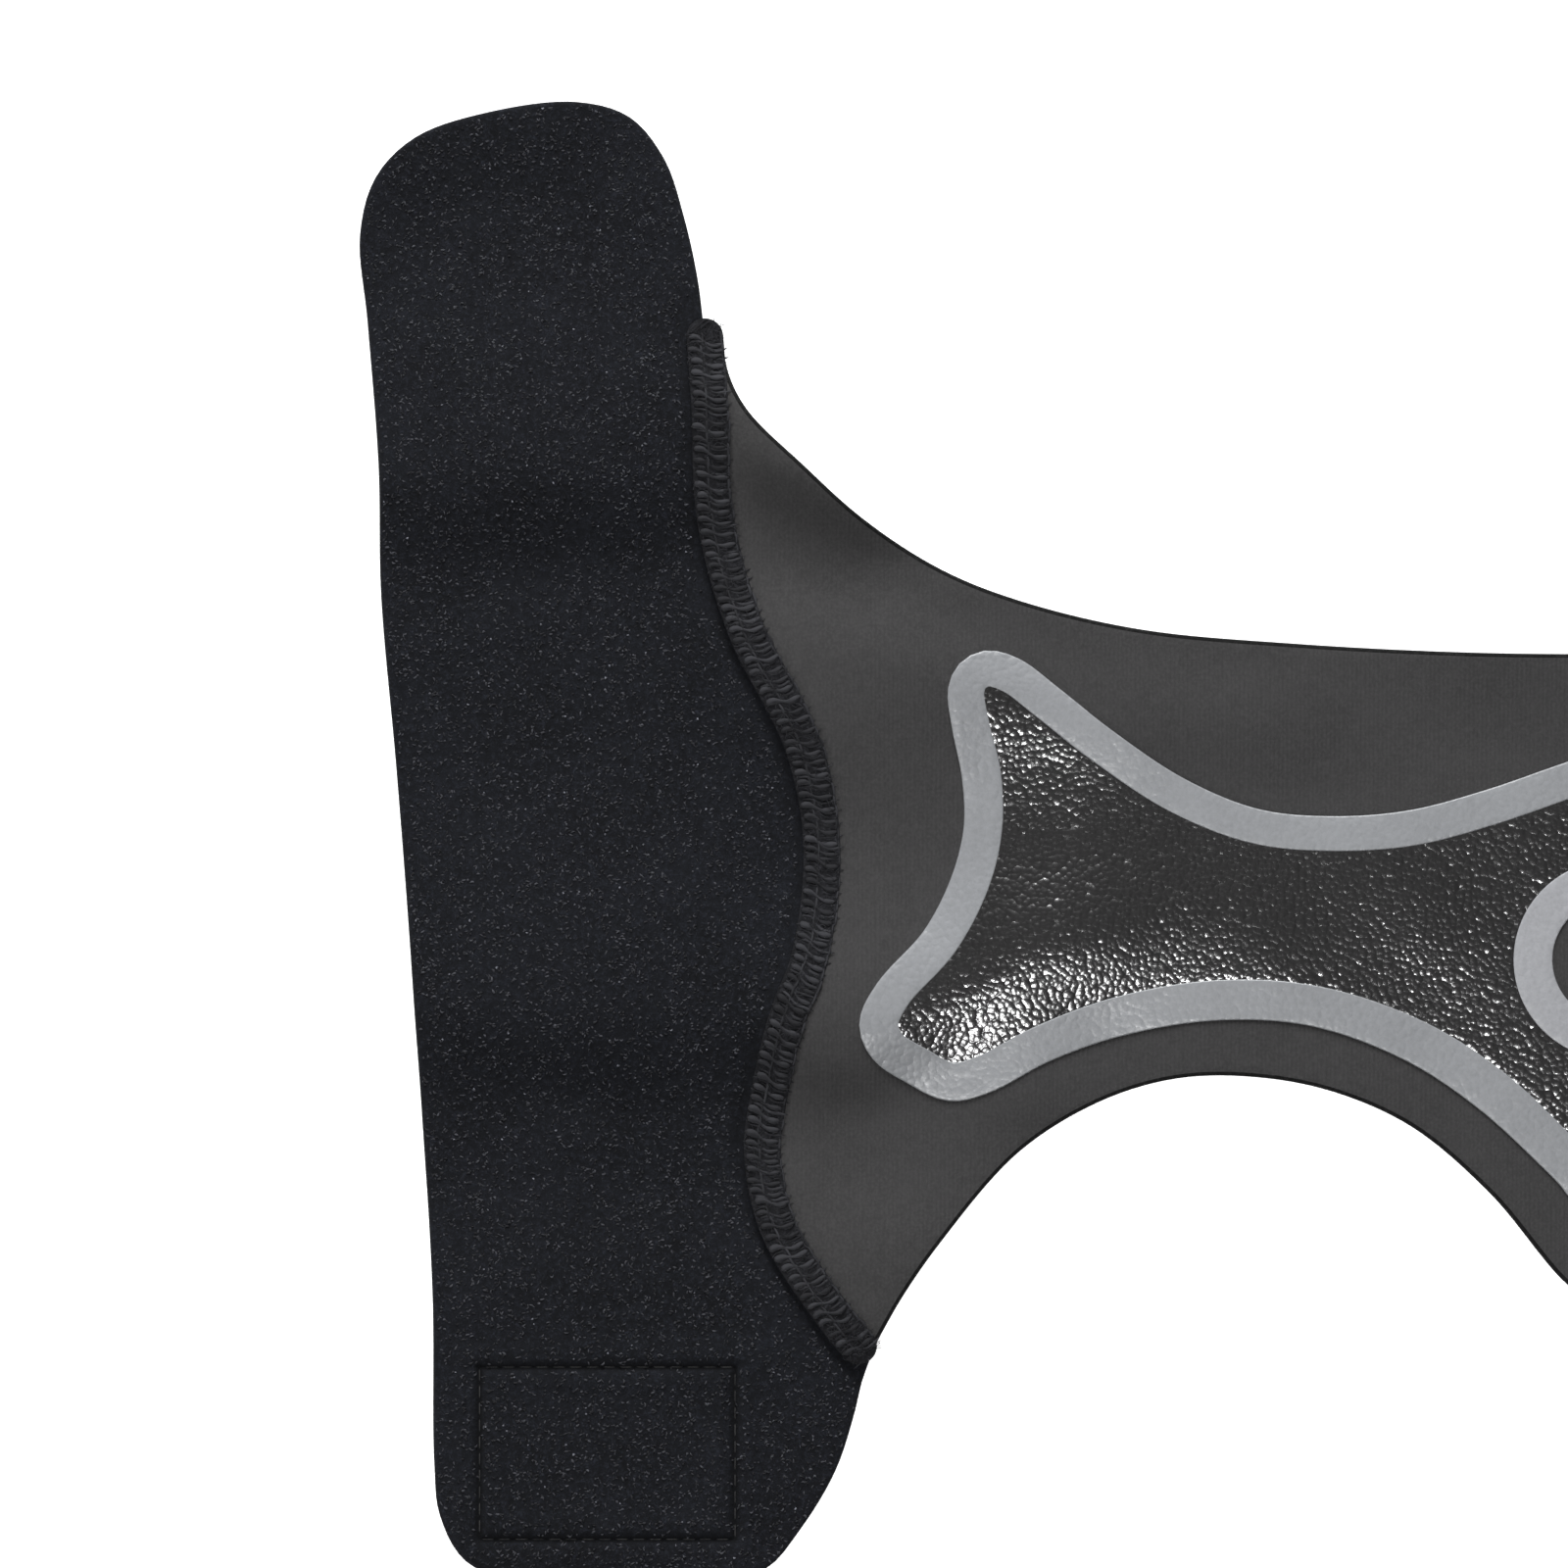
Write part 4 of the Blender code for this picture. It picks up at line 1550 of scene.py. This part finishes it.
@dataclass
class HookPatch:
    """The hook tape under a lower ear: a woven ground with hooks that point down."""

    side: Side
    pitch_x: float = 1.5 * MM
    pitch_y: float = 1.25 * MM
    ground: float = 0.7 * MM
    rim: float = 0.15 * MM
    grid: float = 5 * MM
    corner_steps: int = 6
    sewing_in: float = 0.9 * MM
    sewing_sunk: float = 0.02 * MM
    hooks_in: float = 2.6 * MM
    hook_lean: float = 0.45 * MM
    hook_shift: float = 0.25 * MM
    hook_radius: float = 0.11 * MM
    hook_foot: float = 0.1 * MM
    hook_tip: float = 0.12 * MM
    hook_turn: float = 1.6
    hook_curl: float = 0.8

    def build(self) -> None:
        """Build the tape, its sewing and its hooks."""
        x, y = DRAPE.patch
        out, up = SIZES.patch_wide / 2 - SIZES.patch_round, SIZES.patch_tall / 2 - SIZES.patch_round
        outline: list[Point] = []
        for right, high, start in ((out, up, 0), (-out, up, 90), (-out, -up, 180), (out, -up, 270)):
            outline += arc((x + right, y + high), SIZES.patch_round, start, start + 90, self.corner_steps)
        low = -self.ground - SIZES.gap
        Layer(f"hook_tape_{self.side.word}", f"hook_patch_{self.side.word}", "hook_tape", outline, low,
              self.ground, self.rim, self.grid, self.side, HOOK_TAPE).build()
        sewing = Swarm(strand(5, 4))
        high = SIZES.patch - self.ground - self.sewing_sunk
        lines = SEWN.stitches(sewing.shape(), high, self.sewing_in)
        sewing.add(lines, np.ones(len(lines)))
        sewing.joined(f"hook_sewing_{self.side.word}", SEAM_THREAD, self.side is Side.RIGHT)
        self.hooks()

    def hooks(self) -> bpy.types.Object:
        """Set the hooks in rows under the tape.

        Returns:
            The hooks' object.
        """
        columns, rows = (
            np.arange(-side / 2 + self.hooks_in, side / 2 - self.hooks_in, pitch) + middle
            for side, pitch, middle in (
                (SIZES.patch_wide, self.pitch_x, DRAPE.patch[0]),
                (SIZES.patch_tall, self.pitch_y, DRAPE.patch[1]),
            )
        )
        across, up = (grid.ravel() for grid in np.meshgrid(columns, rows))
        swarm = Swarm(strand(4, 4))
        shape = swarm.shape()
        share = shape[None, :, 0] + 0.5
        lean = self.hook_lean * np.sin(share * math.pi)
        way = np.where(np.arange(len(across)) % 2, 1.0, -1.0)[:, None]
        top = SIZES.patch - self.ground + self.hook_foot
        height = top * np.abs(1 - self.hook_turn * share) ** self.hook_curl + self.hook_tip
        x = across[:, None] + lean * way + shape[None, :, 1] * self.hook_radius
        y = up[:, None] + self.hook_shift * share + shape[None, :, 2] * self.hook_radius
        z = np.broadcast_to(np.minimum(height, top), x.shape)
        swarm.add(np.stack([x, y, z], axis=2), np.zeros(len(across)))
        return swarm.joined(f"hooks_{self.side.word}", HOOKS, self.side is Side.RIGHT)


@dataclass
class Brace:
    """The whole brace.

    A strap's cloth is thinner than the strap by strap_short, which its pile takes up, and
    near is where the cuts beside its sewing's grooves lie, in millimetres. The prints are sunk
    a little into the panel, and the coat reaches under the line and the ring by lap.
    """

    strap_grid: float = 1.5 * MM
    panel_grid: float = 2.0 * MM
    cloth_rim: float = 0.7 * MM
    strap_short: float = 0.3 * MM
    near: tuple[float, ...] = (-1.1, -0.7, -0.35, 0.0, 0.35, 0.7, 1.1)
    sunk: float = 0.05 * MM
    lap: float = 0.2 * MM

    def build(self) -> None:
        """Build every sub-assembly in order."""
        self.panel()
        self.silicone()
        for side in (Side.LEFT, Side.RIGHT):
            self.strap(side)
            SeamBand(side).build()
            HookPatch(side).build()

    def panel(self) -> None:
        """The stretch panel."""
        top, arch = (Curve([from_axis(p) for p in edge], EDGE_STEP).points for edge in (TOP_EDGE, ARCH_EDGE))
        outline = top + arch[::-1] + SEAM.shifted(SIZES.gap / 2)[::-1]
        cloth = Layer("body_panel_cloth", "body_panel", "laminate", outline, 0.0, SIZES.panel,
                      self.cloth_rim, self.panel_grid, Side.BOTH, JERSEY, FOAM_EDGE, LINING).build()

    def silicone(self) -> None:
        """The printed support: its raised line, the ankle ring and the coat between them."""
        band = BAND.shifted(-BAND_HALF) + BAND.shifted(BAND_HALF)[::-1]
        ring = half_ring(SIZES.ring_radius, 90, 270) + half_ring(SIZES.ring_radius - SIZES.ring_wide, 270, 90)
        coat = BAND.shifted(BAND_HALF - self.lap) + half_ring(SIZES.ring_radius - self.lap, 270, 90)
        # thick, rim and grid are in millimetres
        for node, slot, outline, thick, rim, grid, finish in (
            ("support_band", "grey_silicone", band, 0.52, 0.26, 2.5, GREY_PRINT),
            ("ankle_ring", "grey_silicone", ring, 0.52, 0.26, 2.5, RING_PRINT),
            ("support_fill", "black_silicone", coat, 0.40, 0.1, 1.5, BLACK_PRINT),
        ):
            Layer(f"{node}_print", node, slot, outline, SIZES.panel - self.sunk, thick * MM, rim * MM,
                  grid * MM, Side.BOTH, finish).build()

    def strap(self, side: Side) -> None:
        """A strap and its pile.

        Args:
            side: which strap.
        """
        near = np.array(self.near) * MM
        turn = -1 if side is Side.RIGHT else 1
        lines_x = [turn * (DRAPE.patch[0] + way * SEWN.out) + n for way in (-1, 1) for n in near]
        lines_y = [DRAPE.patch[1] + way * SEWN.up + n for way in (-1, 1) for n in near]
        strap = Strap(f"strap_{side.word}_cloth", f"strap_{side.word}", "loop_pile", strap_outline(), 0.0,
                      SIZES.strap - self.strap_short, self.cloth_rim, self.strap_grid, side,
                      PILE_GROUND, PILE_GROUND, LINING, lines_x, lines_y)
        cloth = strap.build()
        pile = Pile(strap, seed=7 + side.value).build()


@dataclass(frozen=True)
class Studio:
    """Pale floor, soft light and the camera straight above the left half."""

    centre: Point = (-0.1435, 0.0104)
    frame: float = 0.272
    distance: float = 1.2
    clip: Span = (0.05, 20.0)
    sky: float = 0.085
    floor_half: float = 6.0
    floor_low: float = 0.05 * MM
    floor_tone: float = 0.92
    floor_rough: float = 0.9
    floor_glow: float = 0.7
    lamps: tuple[Lamp, ...] = (
        Lamp("key", (-0.10, 1.45, 0.77), 0.8, 52.0),
        Lamp("side", (-1.35, -0.75, 0.55), 0.5, 10.0),
        Lamp("glint", (-0.21, -0.73, 1.39), 0.28, 12.5),
    )

    def build(self) -> None:
        """Set up the floor, the lights and the camera."""
        self.floor()
        self.world()
        for lamp in self.lamps:
            self.softbox(lamp)
        self.camera()

    def floor(self) -> None:
        """A pale floor that reaches past every view and glows a little, so that it stays white."""
        mesh = bmesh.new()
        bmesh.ops.create_grid(mesh, x_segments=1, y_segments=1, size=self.floor_half)
        bmesh.ops.translate(mesh, vec=(0, 0, -self.floor_low), verts=mesh.verts[:])
        data = bpy.data.meshes.new("floor")
        mesh.to_mesh(data)
        mesh.free()
        paint = bpy.data.materials.new("floor_paint")
        paint.use_nodes = True
        bsdf = paint.node_tree.nodes["Principled BSDF"]
        for name, value in {
            "Base Color": (*(self.floor_tone,) * 3, 1), "Roughness": self.floor_rough,
            "Specular IOR Level": 0.0, "Emission Color": (1, 1, 1, 1), "Emission Strength": self.floor_glow,
        }.items():
            bsdf.inputs[name].default_value = value
        data.materials.append(paint)
        floor = linked("floor", data)

    def world(self) -> None:
        """Even light from all round."""
        world = bpy.data.worlds.new("studio")
        world.use_nodes = True
        sky = world.node_tree.nodes["Background"]
        sky.inputs["Color"].default_value = (1, 1, 1, 1)
        sky.inputs["Strength"].default_value = self.sky
        bpy.context.scene.world = world

    def softbox(self, lamp: Lamp) -> None:
        """A square soft light that looks at the brace.

        Args:
            lamp: its name, place, size and power.
        """
        data = bpy.data.lights.new(lamp.name, "AREA")
        data.shape = "SQUARE"
        data.size = lamp.size
        data.energy = lamp.watts
        box = linked(lamp.name, data)
        box.location = lamp.spot
        aim = Vector((*self.centre, 0)) - Vector(lamp.spot)
        box.rotation_euler = aim.to_track_quat("-Z", "Y").to_euler()

    def camera(self) -> None:
        """The camera, straight above its centre, with the frame's width on the floor."""
        data = bpy.data.cameras.new("camera")
        data.lens = data.sensor_width * self.distance / self.frame
        data.clip_start, data.clip_end = self.clip
        camera = linked("camera", data)
        camera.location = (*self.centre, self.distance)
        bpy.context.scene.camera = camera
        bpy.context.scene.view_settings.view_transform = "Standard"


def main() -> None:
    """Build the studio and the brace."""
    Studio().build()
    Brace().build()


if __name__ == "__main__":
    main()
